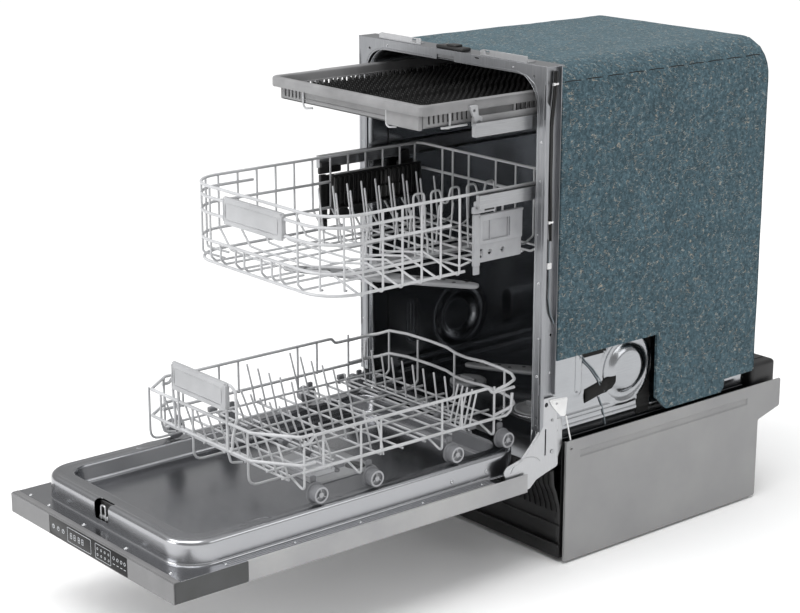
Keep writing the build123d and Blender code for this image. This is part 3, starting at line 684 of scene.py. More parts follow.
def makeTub(p):
    half, top, corner = p["half"], p["top"], p["corner"]
    ends = {p["front"] + i * 12 for i in range(5)} | {500, p["back"] - 0.4}
    depths = sorted(ends.union(range(62, 282, 3), range(282, 500, 7)))
    heights = [*range(p["low"] + 1, 262, 3), *range(262, 372, 3), *range(372, int(top - corner), 14)]

    def archAt(y):
        made = [(-half - sidePress(y, z), y, z) for z in heights]
        for i in range(15):
            turn = math.radians(180 - 90 * i / 14)
            made.append((-half + corner + corner * math.cos(turn), y,
                         top - corner + corner * math.sin(turn)))
        for i in range(1, 12):
            made.append((-half + corner + 2 * (half - corner) * i / 12, y, top))
        for i in range(15):
            turn = math.radians(90 - 90 * i / 14)
            made.append((half - corner + corner * math.cos(turn), y,
                         top - corner + corner * math.sin(turn)))
        made += [(half + sidePress(y, z), y, z) for z in reversed(heights)]
        return made

    walls = gridSheet("tubWrap", [archAt(y) for y in depths], p["sheet"], inward=False)
    turnFacesOut(walls)
    backRows = []
    for i in range(60):
        z = p["low"] + (top - p["low"]) * i / 59
        reach = half - cornerInset(z, top, corner)
        row = []
        for j in range(61):
            x = -reach + 2 * reach * j / 60
            panel = smoothStep((150 - abs(x)) / 12)
            panel = panel * smoothStep((z - 300) / 14) * smoothStep((700 - z) / 14)
            groove = 1.6 * math.exp(-((abs(x) - 92) / 5) ** 2) * panel
            row.append((x, p["back"] - 0.3 - 3.0 * panel - groove, z))
        backRows.append(row)
    back = gridSheet("tubRear", backRows, p["sheet"])
    return finishSet("tubShell", [walls, back], "cabinet", tubSteel, "stainless_tub", ["tub_walls"])


makeTub(tub)


def makeTubTrim():
    half, top = tub["half"] - 0.9, tub["top"] - 0.9
    arch = [(-half, 44, 246), (-half, 44, top), (half, 44, top), (half, 44, 246)]
    bead = wireSet("doorSealBead", [arch], 0.75, tub["corner"], 3)
    finishPiece(bead, "cabinet", rubber, "rubber_black", ["tub_gasket"])


makeTubTrim()
print("tub made")

# the steel front frame

frameSheet = {"low": 240, "returnLow": 295, "open": 205, "openTop": 798, "corner": 50, "thick": 1.5}


def makeFrame(p):
    w, top, low = halfWidth, frameTop, p["low"]
    arch = [(p["open"], low, 0), (p["open"], p["openTop"], 0), (0, p["openTop"], 0)]
    right = [(q.x, q.y) for q in roundCorners(arch, p["corner"], 10)][:-1]
    notch = [(14, p["openTop"]), (14, top - 9), (-27, top - 9), (-27, p["openTop"])]
    left = [(-a, b) for a, b in reversed(right)]
    face = [(-w, low), (-w, top), (w, top), (w, low)] + right + notch + left
    holes = [circleOutline(s * 214.5, z, 1.7, 14) for s in (-1, 1) for z in (250, 262)]
    holes += [circleOutline(s * 196, 797, 2.2, 14) for s in (-1, 1)]
    holes.append(roundedOutline(62, 72, top - 5.5, top - 3.8, 0.8))
    pieces = [plateShape("face", "xz", 0, [face] + holes, p["thick"], 0.35)]
    for side in (-1, 1):
        x = side * 213.2
        wall = [(1.5, p["returnLow"]), (36, p["returnLow"] - 8), (36, top - 1.6), (1.5, top - 1.6)]
        holes = [circleOutline(29, z, 2.2, 14) for z in (330, 392)]
        holes += [circleOutline(10, z, 1.5, 14) for z in (610, 706)]
        pieces.append(plateShape("return", "yz", x - 0.7, [wall] + holes, 1.4, 0.3))
        # the outer fold gives the face edge its depth, the rear fold holds the blanket's edge
        outerLip = [(1.2, p["low"]), (7.5, p["low"] + 8), (7.5, top - 60), (1.2, top - 52)]
        edge = side * (w - 0.75)
        pieces.append(plateShape("edgeFold", "yz", edge - 0.75, [outerLip], 1.5, 0.3))
        rearLip = [(33.6, p["returnLow"]), (35.2, p["returnLow"]), (35.2, top - 2), (33.6, top - 2)]
        pieces.append(plateShape("rearFold", "yz", min(x, side * 221), [rearLip], abs(side * 221 - x),
                                 0.3))
    topBar = roundedOutline(-w, w, 0.8, 36, 1.0)
    hole = [circleOutline(s * 150, 16, 2.5, 16) for s in (-1, 1)]
    pieces.append(plateShape("topReturn", "xy", top - 1.5, [topBar] + hole, 1.5, 0.35))
    return finishSet("frontFrame", pieces, "cabinet", frameSteel, "stainless_frame", ["front_frame"])


makeFrame(frameSheet)


def makeBrackets():
    pieces = []
    z0 = frameTop
    for side in (-1, 1):
        ends = sorted((side * 71, side * 176))
        blade = [(ends[0], z0), (ends[0], z0 + 8), (ends[0] + 6, z0 + 10), (ends[1], z0 + 10),
                 (ends[1], z0)]
        hole = sorted((side * 82, side * 92))
        pieces.append(plateShape("blade", "xz", 4, [blade,
                roundedOutline(hole[0], hole[1], z0 + 2.5, z0 + 8, 1)], 1.5))
        flat = sorted((side * 83, side * 176))
        pieces.append(plateShape("flat", "xy", z0, [roundedOutline(flat[0], flat[1], 5.2, 24, 3),
                circleOutline(side * 150, 16, 2.5, 16)], 1.5))
    finishSet("worktopBrackets", pieces, "cabinet", zincSteel, "zinc_bracket", ["top_brackets"])
    shell = blockPiece("shell", -31, 18, 2, 30, z0 - 14.5, z0 - 1.6, 2)
    tongue = blockPiece("tongue", -20, 8, 1.0, 6, z0 - 11.5, z0 - 6, 1)
    spring = wireSet("hook", [[(-14, 3, z0 - 11), (-14, 0.8, z0 - 8), (-2, 0.8, z0 - 8),
                               (-2, 3, z0 - 11)]], 0.7, 2, 2)
    finishSet("doorCatch", [shell, tongue], "cabinet", innerGrey, "inner_plastic", ["latch_catch"])
    finishPiece(spring, "cabinet", zincSteel)
    cover = blockPiece("latchCover", -34, 30, 4, 22, z0 + 0.1, z0 + 5.5, 1.6)
    rib = blockPiece("latchCoverRib", -10, 12, 5, 20, z0 + 5.3, z0 + 8.6, 1.0)
    finishSet("latchModule", [cover, rib], "cabinet", blackComb)


makeBrackets()

harness = {"thick": 3.5, "z": [806, 780, 752, 722, 690, 655, 622, 596, 566, 545],
           "y": [24, 23, 19, 15, 16, 15.5, 16.5, 18, 18.2, 19]}


def makeHarness(p):
    x = 219.1
    bundle = bpy.data.curves.new("cableSleeve", "CURVE")
    bundle.dimensions = "3D"
    bundle.bevel_depth = 1.9 / 1000
    bundle.bevel_resolution = 3
    bundle.use_fill_caps = True
    for twist in range(3):
        spline = bundle.splines.new("NURBS")
        spline.points.add(len(p["z"]) - 1)
        for i, (point, y, z) in enumerate(zip(spline.points, p["y"], p["z"])):
            turn = twist * 2.094 + i * 0.25
            point.co = (*at(x + 1.6 * math.cos(turn), y + 1.6 * math.sin(turn), z), 1)
            point.radius = 1.0 if i < len(p["z"]) - 1 else 0.5
        spline.order_u = 3
        spline.use_endpoint_u = True
    obj = linkObject("cableSleeve", bundle)
    finishPiece(obj, "cabinet", cableBlack, "cable_black", ["wiring_harness"])
    ties = []
    for y, z in ((23.2, 787), (18.1, 575)):
        ring = latheZ("tie", (x, y, z), [(3.9, -1.4), (4.5, -1.2), (4.7, 0), (4.5, 1.2), (3.9, 1.4)], 24)
        head = blockPiece("tieHead", x + 0.6, x + 4.6, y - 7.6, y - 3.8, z - 2, z + 2, 0.6, 2)
        ties += [ring, head]
    finishSet("cableTies", ties, "cabinet", whiteNylon, "white_nylon", ["harness_ties"])
    leads = []
    for dx, dy in ((-2.0, 0.0), (-3.4, 1.6)):
        leads.append([(x + dx, 18.4 + dy, 546), (x + dx, 18 + dy, 512), (x + dx, 20 + dy, 480),
                      (x + dx, 19 + dy, 452), (x + dx - 0.4, 24 + dy, 428), (x + dx - 0.6, 33 + dy, 410)])
    low = 204.6
    for dy in (0, 4.5):
        leads.append([(low, 97 + dy, 349), (low, 112 + dy, 330), (low, 130 + dy, 313),
                      (low, 146 + dy, 293), (low, 156 + dy, 272)])
    leads.append([(low, 150, 262), (low, 158, 245), (low, 163, 228), (low + 0.5, 166, 212)])
    finishPiece(wireSet("sensorLeads", leads, 1.0, 26, 3), "cabinet", leadGrey)
    plug = blockPiece("plug", low - 1.2, low + 3.4, 22, 32, 428, 440, 1.2)
    plug2 = blockPiece("plugTwo", x - 4.6, x - 0.6, 14, 24, 500, 510, 1.2)
    finishSet("leadPlugs", [plug, plug2], "cabinet", whiteNylon)
    tape = []
    for i in range(9):
        row = []
        for j in range(6):
            y, z = 118 + i * 7.8, 258 + j * 4.6 + i * 1.6
            swell = 2.0 * math.exp(-((j - 2.5) / 1.5) ** 2)
            row.append((tub["half"] + 1.9 + max(sidePress(y, z), 0) + swell, y, z))
        tape.append(row)
    patch = gridSheet("tapePatch", tape, 0.5, inward=False)
    finishPiece(patch, "cabinet", rubber)
    # a black sheet on each side wall of the tub, round the dome and up under the blanket's hem
    for side in (-1, 1):
        spots, faces = [], []
        columns, rows = 34, 46
        for i in range(columns):
            for j in range(rows):
                y, z = 104 + i * 5, 214 + j * 3.1
                spots.append((side * (tub["half"] + 1.5 + max(sidePress(y, z), 0)), y, z))
        for i in range(columns - 1):
            for j in range(rows - 1):
                y, z = 106.5 + i * 5, 215.5 + j * 3.1
                gap = math.hypot(y - dome["y"], z - dome["z"])
                if gap > dome["ring"] + 5 and (z > 334 or y > 238):
                    a = i * rows + j
                    faces.append((a, a + 1, a + rows + 1, a + rows))
        blackSheet = meshPiece("blackSheetRight" if side > 0 else "blackSheetLeft", spots, faces)
        finishPiece(blackSheet, "cabinet", rubber)


makeHarness(harness)
print("frame made")

# the plastic base

baseSize = {"half": 212, "front": 62, "back": 530, "rear": 583, "low": 8, "ribs": 34, "toeTop": 92,
            "lip": 150}


def makeBase(p):
    w, front = p["half"], p["front"]
    profile = [(front, p["low"]), (front, p["toeTop"] - 6), (front - 2, p["toeTop"] + 8),
               (front - 9, p["toeTop"] + 30), (front - 15, p["lip"] - 14), (front - 17, p["lip"] + 8),
               (front - 17, 163)]
    smooth = roundCorners([(0, y, z) for y, z in profile], 22, 6)
    pieces = []
    rows = [[(-w + 2 * w * j / 40, q.y, q.z) for j in range(41)] for q in smooth]
    pieces.append(gridSheet("apron", rows, 2.4, inward=False))
    for i in range(p["ribs"]):
        x = -w + 9 + (2 * w - 18) * i / (p["ribs"] - 1)
        sweep = 5.0 * math.sin(i * math.pi / (p["ribs"] - 1))
        loops = []
        for k, q in enumerate(smooth):
            t = k / (len(smooth) - 1)
            lean = x + 9 * (t - 0.5) * (1 if x < 0 else -1) * abs(x) / w
            rise = (4.2 + sweep * 0.2) * smoothStep(t * 6) * smoothStep((1 - t) * 6) + 0.4
            loops.append([(lean - 1.0, q.y + 0.3, q.z), (lean - 0.7, q.y - rise, q.z),
                          (lean + 0.7, q.y - rise, q.z), (lean + 1.0, q.y + 0.3, q.z)])
        rib = loftLoops("rib", loops, capFirst=True)
        pieces.append(shadeByAngle(rib, 40))
    for z in (28, 62):
        rail = blockPiece("bar", -w, w, front - 4.6, front, z, z + 3, 0.8, 2)
        pieces.append(rail)
    for side in (-1, 1):
        ends = sorted((side * w, side * (w - 3)))
        wall = [(front, p["low"]), (p["back"], p["low"]), (p["back"], 205), (front, 205)]
        wall = softenOutline(wall, 4)
        pieces.append(plateShape("wall", "yz", ends[0], [wall], 3, 0.5))
    pan = roundedOutline(-w, w, front + 2, p["back"], 6)
    hole = [circleOutline(s * 180, 95, 14, 20) for s in (-1, 1)] + [circleOutline(0, 502, 14, 20)]
    pieces.append(plateShape("pan", "xy", p["low"] + 4, [pan] + hole, 3, 0.5))
    for i in range(9):
        x = -184 + i * 46
        pieces.append(blockPiece("panRib", x - 1, x + 1, front + 60, p["back"] - 60, p["low"],
                                 p["low"] + 4.4, 0.5, 2))
    pieces.append(blockPiece("rearWall", -w, w, p["back"] - 3, p["back"], p["low"], 160, 0.8, 2))
    for i in range(13):
        x = -198 + i * 33
        pieces.append(blockPiece("rearRib", x - 1, x + 1, p["back"] - 0.4, p["back"] + 3.2, p["low"] + 8,
                                 156, 0.6, 2))
    shell = blockPiece("rearBox", -w, w, p["back"] - 8, p["rear"], 160, 243, 7, 4)
    pieces.append(shell)
    for i in range(11):
        x = -190 + i * 38
        pieces.append(blockPiece("boxRib", x - 1.2, x + 1.2, p["rear"] - 2, p["rear"] + 1.2, 170, 234,
                                 0.6, 2))
        pieces.append(blockPiece("boxTopRib", x - 1.2, x + 1.2, p["back"], p["rear"] - 8, 241, 244.2,
                                 0.6, 2))
    return finishSet("basePan", pieces, "cabinet", basePlastic, "base_plastic", ["base_housing"])


makeBase(baseSize)

sidePanel = {"front": 61, "back": 530, "rear": 586, "top": 210, "low": 4, "step": 150, "thick": 1.5}


def makePanels(p):
    outline = [(p["front"], p["low"]), (p["back"], p["low"]), (p["back"], p["step"] - 6),
               (p["rear"], p["step"] + 9), (p["rear"], p["top"]), (p["front"], p["top"])]
    inner = halfWidth - 2.5
    pieces = []
    for side in (-1, 1):
        start = min(side * inner, side * (inner + p["thick"]))
        window = roundedOutline(92, 500, 177.5, 190, 1.2)
        sheet = plateShape("sheet", "yz", start, [softenOutline(outline, 5),
                circleOutline(72, 196, 2.2, 14), window], p["thick"], 0.3)
        pieces.append(sheet)
        # the long pressed panel sits just under the sheet's face
        loops = []
        for inset, sink in ((-0.5, 0.2), (0.3, 0.3), (0.9, 1.5), (1.6, 2.3), (2.8, 2.4)):
            ring = roundedOutline(92 + inset, 500 - inset, 177.5 + inset, 190 - inset, 1.2)
            loops.append([(side * (inner + p["thick"] - sink), y, z) for y, z in ring])
        sunk = loftLoops("sunk", loops)
        if side < 0:
            sunk.data.flip_normals()
        pieces.append(sunk)
        hem = sideBlock("hem", side, inner - 4, inner + 0.5, p["front"], p["back"], p["low"],
                        p["low"] + 1.4, 0.4, 2)
        pieces.append(hem)
        lip = sideBlock("lip", side, inner - 3, inner + 0.5, p["front"], p["front"] + 1.4, p["low"],
                        p["top"], 0.4, 2)
        pieces.append(lip)
    return finishSet("basePanels", pieces, "cabinet", sidePaint, "painted_side", ["base_panels"])


makePanels(sidePanel)
print("base made")

# the door

door = {"half": 222.5, "far": -682, "near": -24, "skin": 146, "flange": 177, "ledge": 213.5,
        "floor": 184, "wallHalf": 200, "wallFar": -650, "wallNear": -8, "wallCorner": 52, "pitHalf": 172,
        "pitFar": -616, "pitNear": -34, "pitCorner": 34}


def makeSkin(p):
    w = halfWidth
    base = [(-w, p["far"]), (w, p["far"]), (w, p["near"]), (222, p["near"]), (222, -90), (205, -90),
            (205, p["near"]), (-205, p["near"]), (-205, -90), (-222, -90), (-222, p["near"]),
            (-w, p["near"])]
    pieces = [plateShape("skin", "xy", p["skin"], [base], 1.5, 0.4)]
    for side in (-1, 1):
        ends = sorted((side * w, side * (w - 1.5)))
        wall = softenOutline([(-560, 146.5), (p["near"], 146.5), (p["near"], 177), (-560, 177)], 1.2)
        pieces.append(plateShape("wall", "yz", ends[0], [wall], 1.5, 0.4))
        pieces.append(sideBlock("hem", side, w - 0.3, w - 4.5, -560, -92, 175.8, 177.2, 0.5, 2))
        for z in (151.5, 171):
            pieces.append(sideBlock("crease", side, w - 0.2, w + 0.02, -558, p["near"] - 1, z, z + 0.5,
                                    0.1, 1))
    return finishSet("doorSkin", pieces, "door", doorPaint, "painted_side", ["door_outer_panel"])


makeSkin(door)


def makeLiner(p):
    def wall(inset, z):
        loop = roundedLoop(p["wallHalf"] - inset, p["wallFar"] + inset, p["wallNear"] - inset,
                           p["wallCorner"] - inset, 12)
        return [(x, y, z) for x, y in loop]

    def pit(inset, z):
        corner = max(p["pitCorner"] - inset * 0.6, 8)
        loop = roundedLoop(p["pitHalf"] - inset, p["pitFar"] + inset, p["pitNear"] - inset, corner, 12)
        return [(x, y, z) for x, y in loop]

    low, top, floor = p["flange"] - 1, p["ledge"], p["floor"]
    loops = [wall(-3.0, low), wall(-1.6, low + 0.5), wall(-0.6, low + 2.0), wall(-0.1, low + 5),
             wall(0.2, top - 12)]
    loops += [wall(0.2 + 7 * (1 - math.cos(a)), top - 7 + 7 * math.sin(a))
              for a in (0.0, 0.35, 0.7, 1.05, 1.35, 1.5708)]
    loops += [wall(10, top), wall(12.5, top - 0.6), wall(15, top - 0.9)]
    loops += [pit(-6, top - 0.9), pit(-3.5, top - 0.6), pit(-2.2, top - 0.9), pit(-0.8, top - 2.2),
              pit(0, top - 5)]
    loops += [pit(3.5, floor + 6), pit(4.6, floor + 2.8), pit(6.2, floor + 1.0), pit(9, floor + 0.1),
              pit(22, floor)]
    loops += [pit(30, floor), pit(33, floor + 0.9), pit(38, floor + 0.9), pit(60, floor + 0.6),
              pit(100, floor + 0.3)]
    shell = loftLoops("shell", loops)
    turnFacesOut(shell)
    solid = shell.modifiers.new("sheet", "SOLIDIFY")
    solid.thickness = 0.9 / 1000
    solid.offset = -1
    shell = applyModifiers(shell)
    cutter = blockPiece("cutter", -37, 1, p["wallFar"] - 6, p["wallFar"] + 14, floor + 2, top + 8, 3.5, 3)
    cut = shell.modifiers.new("notch", "BOOLEAN")
    cut.object = cutter
    cut.solver = "EXACT"
    shell = applyModifiers(shell)
    bpy.data.objects.remove(cutter)
    shadeByAngle(shell, 38)
    bend = [(201 - 55 + 55 * math.cos(math.radians(-a)), -651 + 55 + 55 * math.sin(math.radians(-a)))
            for a in range(0, 91, 9)]
    outline = [(-222.5, -682), (222.5, -682), (222.5, -90), (201, -90)] + bend
    outline += [(-x, y) for x, y in reversed(bend)] + [(-201, -90), (-222.5, -90)]
    flange = plateShape("flange", "xy", p["flange"] - 1.5, [outline], 1.5, 0.35)
    pocket = blockPiece("pocket", -36.5, 0.5, p["wallFar"] + 12.2, p["wallFar"] + 13.4, floor + 3,
                        top - 3, 0.5, 2)
    finishSet("doorLiner", [shell, flange, pocket], "door", linerSteel, "stainless_door", ["door_liner"])
    fins = []
    for side in (-1, 1):
        for i in range(3):
            x = side * (206.5 + i * 5)
            fins.append([(x, -592, p["flange"] + 0.3), (x, -96, p["flange"] + 0.3)])
    finishPiece(wireSet("flangeRibs", fins, 0.65, 2, 2), "door", linerSteel)
    # shallow relief arcs pressed in the ledge
    arcs = []
    for cx, cy, r in ((-186, -455, 13), (186, -520, 13), (186, -392, 13), (-186, -300, 13)):
        arcs.append(([(cx + r * 0.8 * math.cos(t / 10), cy + r * 2.2 * math.sin(t / 10), top - 0.9)
                      for t in range(0, 63)], True))
    finishPiece(wireSet("ledgeRelief", arcs, 0.5, 0.1, 2), "door", linerSteel)


makeLiner(door)


def screwHead(name, centre, side, r):
    # side is -1 or 1 for a screw that faces out along x, and 0 for one that faces up
    profile = [(-0.3, r * 1.02), (0.35, r), (0.8, r * 0.86), (1.0, r * 0.6), (1.0, r * 0.46),
               (0.35, r * 0.4), (0.3, 0.02)]
    if side == 0:
        return latheZ(name, centre, [(q, d) for d, q in profile], 20)
    return latheX(name, centre, [(side * d, q) for d, q in profile], 20)


def makeScrews(p):
    heads = [screwHead("screw", (x, -667, p["flange"]), 0, 3.6) for x in (-195, -140, -40, 75, 190)]
    for side in (-1, 1):
        heads += [screwHead("screw", (side * 212, y, p["flange"] + 0.2), 0, 2.6)
                  for y in (-590, -470, -350, -230, -110)]
        heads += [screwHead("screw", (side * 200.2, y, 190), side, 3.4) for y in (-161, -90)]
    finishSet("doorScrewSet", heads, "door", screwSteel, "screw_steel", ["door_screws"])
    base = blockPiece("base", -34, -2, -645, -637.5, 183.5, 188, 1.2)
    staple = wireMesh("staple", [[(-24, -646, 186), (-24, -646, 208), (-12, -646, 208),
                                  (-12, -646, 186)]], 1.5, 4, 3)
    tongue = blockPiece("tongue", -29, -7, -646.4, -643, 186, 193, 1.0)
    finishSet("doorStrike", [base, staple, tongue], "door", zincSteel, "zinc_bracket", ["latch_strike"])
    # painted shade: a black block stands for the dark of the pocket behind the strike
    shade = blockPiece("strikePocketShade", -35.5, -0.5, -640, -637.4, 188.3, 210.5, 0.8, 2)
    finishPiece(shade, "door", blackComb)


makeScrews(door)

fascia = {"front": -685, "back": -682, "low": 146, "top": 177, "windowFrom": -110, "windowTo": 106,
          "iconPitch": 19}


def ringIcon(x, z, r, thick=0.7):
    return [circleOutline(x, z, r, 20), circleOutline(x, z, r - thick, 20)]


def makeFascia(p):
    w = halfWidth
    face = roundedOutline(-w, w, p["low"], p["top"], 1.6)
    hole = roundedOutline(p["windowFrom"], p["windowTo"], p["low"] + 0.9, p["top"] - 0.9, 1.0)
    strip = plateShape("strip", "xz", p["front"], [face, hole], 3, 0.5)
    lip = blockPiece("lip", -w + 1, w - 1, p["back"] - 0.5, p["back"] + 9, p["top"] - 0.4,
                     p["top"] + 1.1, 0.5, 2)
    finishSet("fasciaStrip", [strip, lip], "door", fasciaGrey, "fascia_grey", ["control_fascia"])
    caps = []
    for side in (-1, 1):
        ends = sorted((side * w, side * (w - 1.6)))
        cap = softenOutline([(p["back"] - 2, p["low"]), (-560.5, p["low"]), (-560.5, p["top"]),
                             (p["back"] - 2, p["top"])], 1.5)
        caps.append(plateShape("cap", "yz", ends[0], [cap], 1.6, 0.5))
    finishSet("fasciaEndCaps", caps, "door", capGrey)
    glass = blockPiece("displayWindow", p["windowFrom"] + 0.2, p["windowTo"] - 0.2, p["front"] + 0.25,
                       p["back"], p["low"] + 1.0, p["top"] - 1.0, 0.4, 2)
    finishPiece(glass, "door", displayGlass, "display_black", ["display_window"])
    skinY = p["front"] + 0.05
    pieces = []

    def iconPlate(outlines):
        pieces.append(plateShape("icon", "xz", skinY, outlines, 0.22, 0.02, 1))

    middle = (p["low"] + p["top"]) / 2
    for i, x in enumerate((-98, -84, -70)):
        iconPlate(ringIcon(x, middle, 3.4))
        iconPlate([roundedOutline(x - 0.4, x + 0.4, middle - 1 + i * 0.3, middle + 2.4, 0.3, 2)])
    for a0, a1 in ((-58, 8), (20, 62)):
        iconPlate([roundedOutline(a0, a1, p["low"] + 4, p["top"] - 4, 2),
                   roundedOutline(a0 + 0.6, a1 - 0.6, p["low"] + 4.6, p["top"] - 4.6, 1.6)])
    for x in (-50, -40, -28, -18):
        for a, b, c, d in ((0, 5, 8, 8.8), (0, 5, 4, 4.8), (0, 5, 0, 0.8), (0, 0.8, 0, 8.8),
                           (4.2, 5, 0, 8.8)):
            iconPlate([roundedOutline(x + a, x + b, middle - 4.4 + c, middle - 4.4 + d, 0.3, 2)])
    for x in (27, 37, 47, 57):
        for z in (middle - 5, middle + 4):
            iconPlate(ringIcon(x - 1, z, 1.9, 0.6))
    for x in (70, 80, 90, 99):
        iconPlate(ringIcon(x, middle + 3.5, 2.6))
        iconPlate([roundedOutline(x - 2.6, x + 2.6, middle - 6, middle - 5.1, 0.4, 2)])
    finishSet("displayIcons", pieces, "door", printWhite)
    pieces = []
    for i in range(4):
        for z in (middle - 7, middle + 6):
            x = 124 + i * p["iconPitch"]
            iconPlate(ringIcon(x, z, 2.8, 0.8))
            iconPlate([roundedOutline(x + 5, x + 11, z - 0.5, z + 0.5, 0.4, 2)])
            iconPlate([roundedOutline(x + 5, x + 9, z + 1.6, z + 2.4, 0.4, 2)])
    for x in (-176, -160):
        iconPlate(ringIcon(x, middle, 2.2, 0.7))
    finishSet("fasciaIcons", pieces, "door", printDark)


makeFascia(fascia)

hinge = {"arm": 216.1, "thick": 2.3, "outline": [(-71, 187), (-66, 178), (-64, 160), (-40, 160),
        (-32, 148), (-14, 148), (0, 160), (20, 166), (47, 173), (43, 262), (40, 291), (2.5, 291),
        (2.5, 238), (-12, 222), (-34, 202), (-62, 196)]}


def makeHinges(p):
    pieces, clips, strings, holders = [], [], [], []
    for side in (-1, 1):
        start = min(side * p["arm"], side * (p["arm"] + p["thick"]))
        holes = [circleOutline(9, 281, 2.2, 16), circleOutline(19, 280, 3.6, 18),
                 circleOutline(-24, 154, 3.9, 18), roundedOutline(17, 20, 196, 240, 1.4)]
        pieces.append(plateShape("arm", "yz", start, [softenOutline(p["outline"], 7)] + holes,
                                 p["thick"], 0.5))
        face = side * (p["arm"] + p["thick"])
        rib = [(face, -22 - 34 * math.cos(t / 10), 178 + 24 * math.sin(t / 10)) for t in range(2, 27)]
        pieces.append(wireMesh("rib", [rib], 0.8, 1, 2))
        edge = [(face - side * 0.2, a, b) for a, b in [(-60, 192), (-33, 198), (-10, 219), (6, 236),
                (6, 286)]]
        pieces.append(wireMesh("fold", [edge], 1.0, 6, 2))
        pieces.append(blockPiece("foot", *sorted((face - side * 0.5, side * 222.4)), -64, -42, 162, 174,
                                 1.2))
        pieces.append(screwHead("boss", (side * 219.2, 33, 200), side, 3.4))
        pieces.append(screwHead("boss", (side * 219.2, 33, 252), side, 2.6))
        clip = softenOutline([(22, 288), (64, 284), (60, 253), (49, 256), (33, 273)], 3)
        clips.append(plateShape("clip", "yz", min(face, face + side * 1.5),
                                [clip, circleOutline(40, 279, 2.5, 16)], 1.5, 0.4))
        fin = softenOutline([(28, 285), (58, 283), (57, 280), (30, 281)], 1)
        clips.append(plateShape("clipRib", "yz", min(face + side * 1.3, face + side * 2.6), [fin], 1.3,
                                0.3))
        x = side * 219.9
        strings.append([(x, 61, 253), (x, 72, 212), (side * 218.25, 84, 150), (side * 216.75, 92, 72),
                        (side * 216.75, 104, 60), (side * 216.75, 150, 60)])
        plate = softenOutline([(-32, 148.5), (-16, 148.5), (-14, 160), (44, 172), (60, 205), (58, 250),
                               (40, 250), (34, 172), (-32, 160)], 3)
        holders.append(plateShape("holder", "yz", min(side * 212.1, side * 214),
                                  [plate, circleOutline(46, 230, 3, 16)], 1.9, 0.4))
        holders.append(latheX("pin", (side * 214, -24, 154),
                              [(0, 4.2), (side * 5.2, 4.2), (side * 5.6, 3.8), (side * 6, 3.2)], 24))
    finishSet("hingeArmPair", pieces, "door", zincSteel, "zinc_bracket", ["hinge_arms"])
    finishSet("ropeClipPair", clips, "door", whiteNylon, "white_nylon", ["rope_clips"])
    finishPiece(wireSet("doorRopePair", strings, 1.3, 9, 3), "cabinet", whiteNylon, "white_nylon",
                ["door_ropes"])
    finishSet("hingeHolderPair", holders, "cabinet", zincSteel, "zinc_bracket", ["hinge_supports"])
    coils = []
    for side in (-1, 1):
        run = []
        turns, pitch = 88, 2.95
        for k in range(turns * 10):
            t = k / 10
            r = 3.6 if 1.5 < t < turns - 1.5 else 2.4
            run.append((side * 216.75 + r * math.cos(t * 2 * math.pi), 155 + t * pitch,
                        60 + r * math.sin(t * 2 * math.pi)))
        coils.append(run)
        coils.append([(side * 216.75, 415, 60), (side * 216.75, 422, 63), (side * 216.75, 424, 60),
                      (side * 216.75, 421, 57)])
    finishPiece(wireSet("springPair", coils, 0.55, 0.1, 1), "cabinet", springSteel, "spring_steel",
                ["door_springs"])


makeHinges(hinge)

dispenser = {"half": 68, "far": -322, "near": -198, "top": 186}


def makeDispenser(p):
    face = roundedOutline(-p["half"], p["half"], p["far"], p["near"], 10)
    window = roundedOutline(-42, 42, -312, -252, 6)
    frameRing = plateShape("plate", "xy", p["top"] - 2, [face, window, circleOutline(38, -222, 16, 32)],
                           2, 0.7, 3)
    rim = roundedOutline(-p["half"] + 3, p["half"] - 3, p["far"] + 3, p["near"] - 3, 8)
    bead = wireMesh("bead", [([(x, y, p["top"]) for x, y in rim], True)], 0.8, 0.1, 2)
    cup = blockPiece("cup", -44, 44, -314, -250, 168, 183.2, 4)
    body = blockPiece("body", -66, 66, -328, -192, 152, 182.8, 5)
    finishSet("dispenserHousing", [frameRing, bead, cup, body], "door", innerGrey, "inner_plastic",
              ["dispenser_body"])
    cap = latheZ("rinseCap", (38, -222, p["top"] - 2), [(15.4, 0), (15.4, 2.2), (14.4, 3.2), (9, 3.4),
            (8, 2.4), (0.1, 2.4)], 36)
    bar = blockPiece("bar", 25, 51, -224, -220, p["top"] + 0.2, p["top"] + 3, 0.9)
    finishSet("rinseAidCap", [cap, bar], "door", capGrey)
    lid = plateShape("lid", "xy", 184.3, [roundedOutline(-41, 41, -311, -253, 7)], 2.3, 0.8, 3)
    grip = blockPiece("grip", -18, 18, -309, -303, 186, 188.4, 1.1)
    ribs = [blockPiece("rib", x - 0.6, x + 0.6, -296, -262, 186.3, 187.3, 0.4, 2)
            for x in (-24, -12, 0, 12, 24)]
    barrel = latheX("barrel", (-38, -254, 187.2), [(0, 0.95), (76, 0.95)], 14)
    finishSet("detergentFlap", [lid, grip, barrel] + ribs, "detergent_lid", hubGrey, "inner_plastic",
              ["dispenser_lid"])


makeDispenser(dispenser)
print("door made")

# the lower basket

low = {"half": 184, "front": -480, "back": -6, "top": 318, "mid": 277, "rail": 266, "floor": 250,
       "dip": 238, "cutX": 62, "cutY": 44, "rim": 2.5, "wire": 1.9, "tine": 1.55}


def tineAt(x, y, z, height, leanY=0.0, leanX=0.0):
    # one upright tine with a rounded, dipped tip
    return ([(x, y, z), (x + height * leanX * 0.15, y + height * leanY * 0.15, z + height * 0.2),
             (x + height * leanX, y + height * leanY, z + height)], False, True)


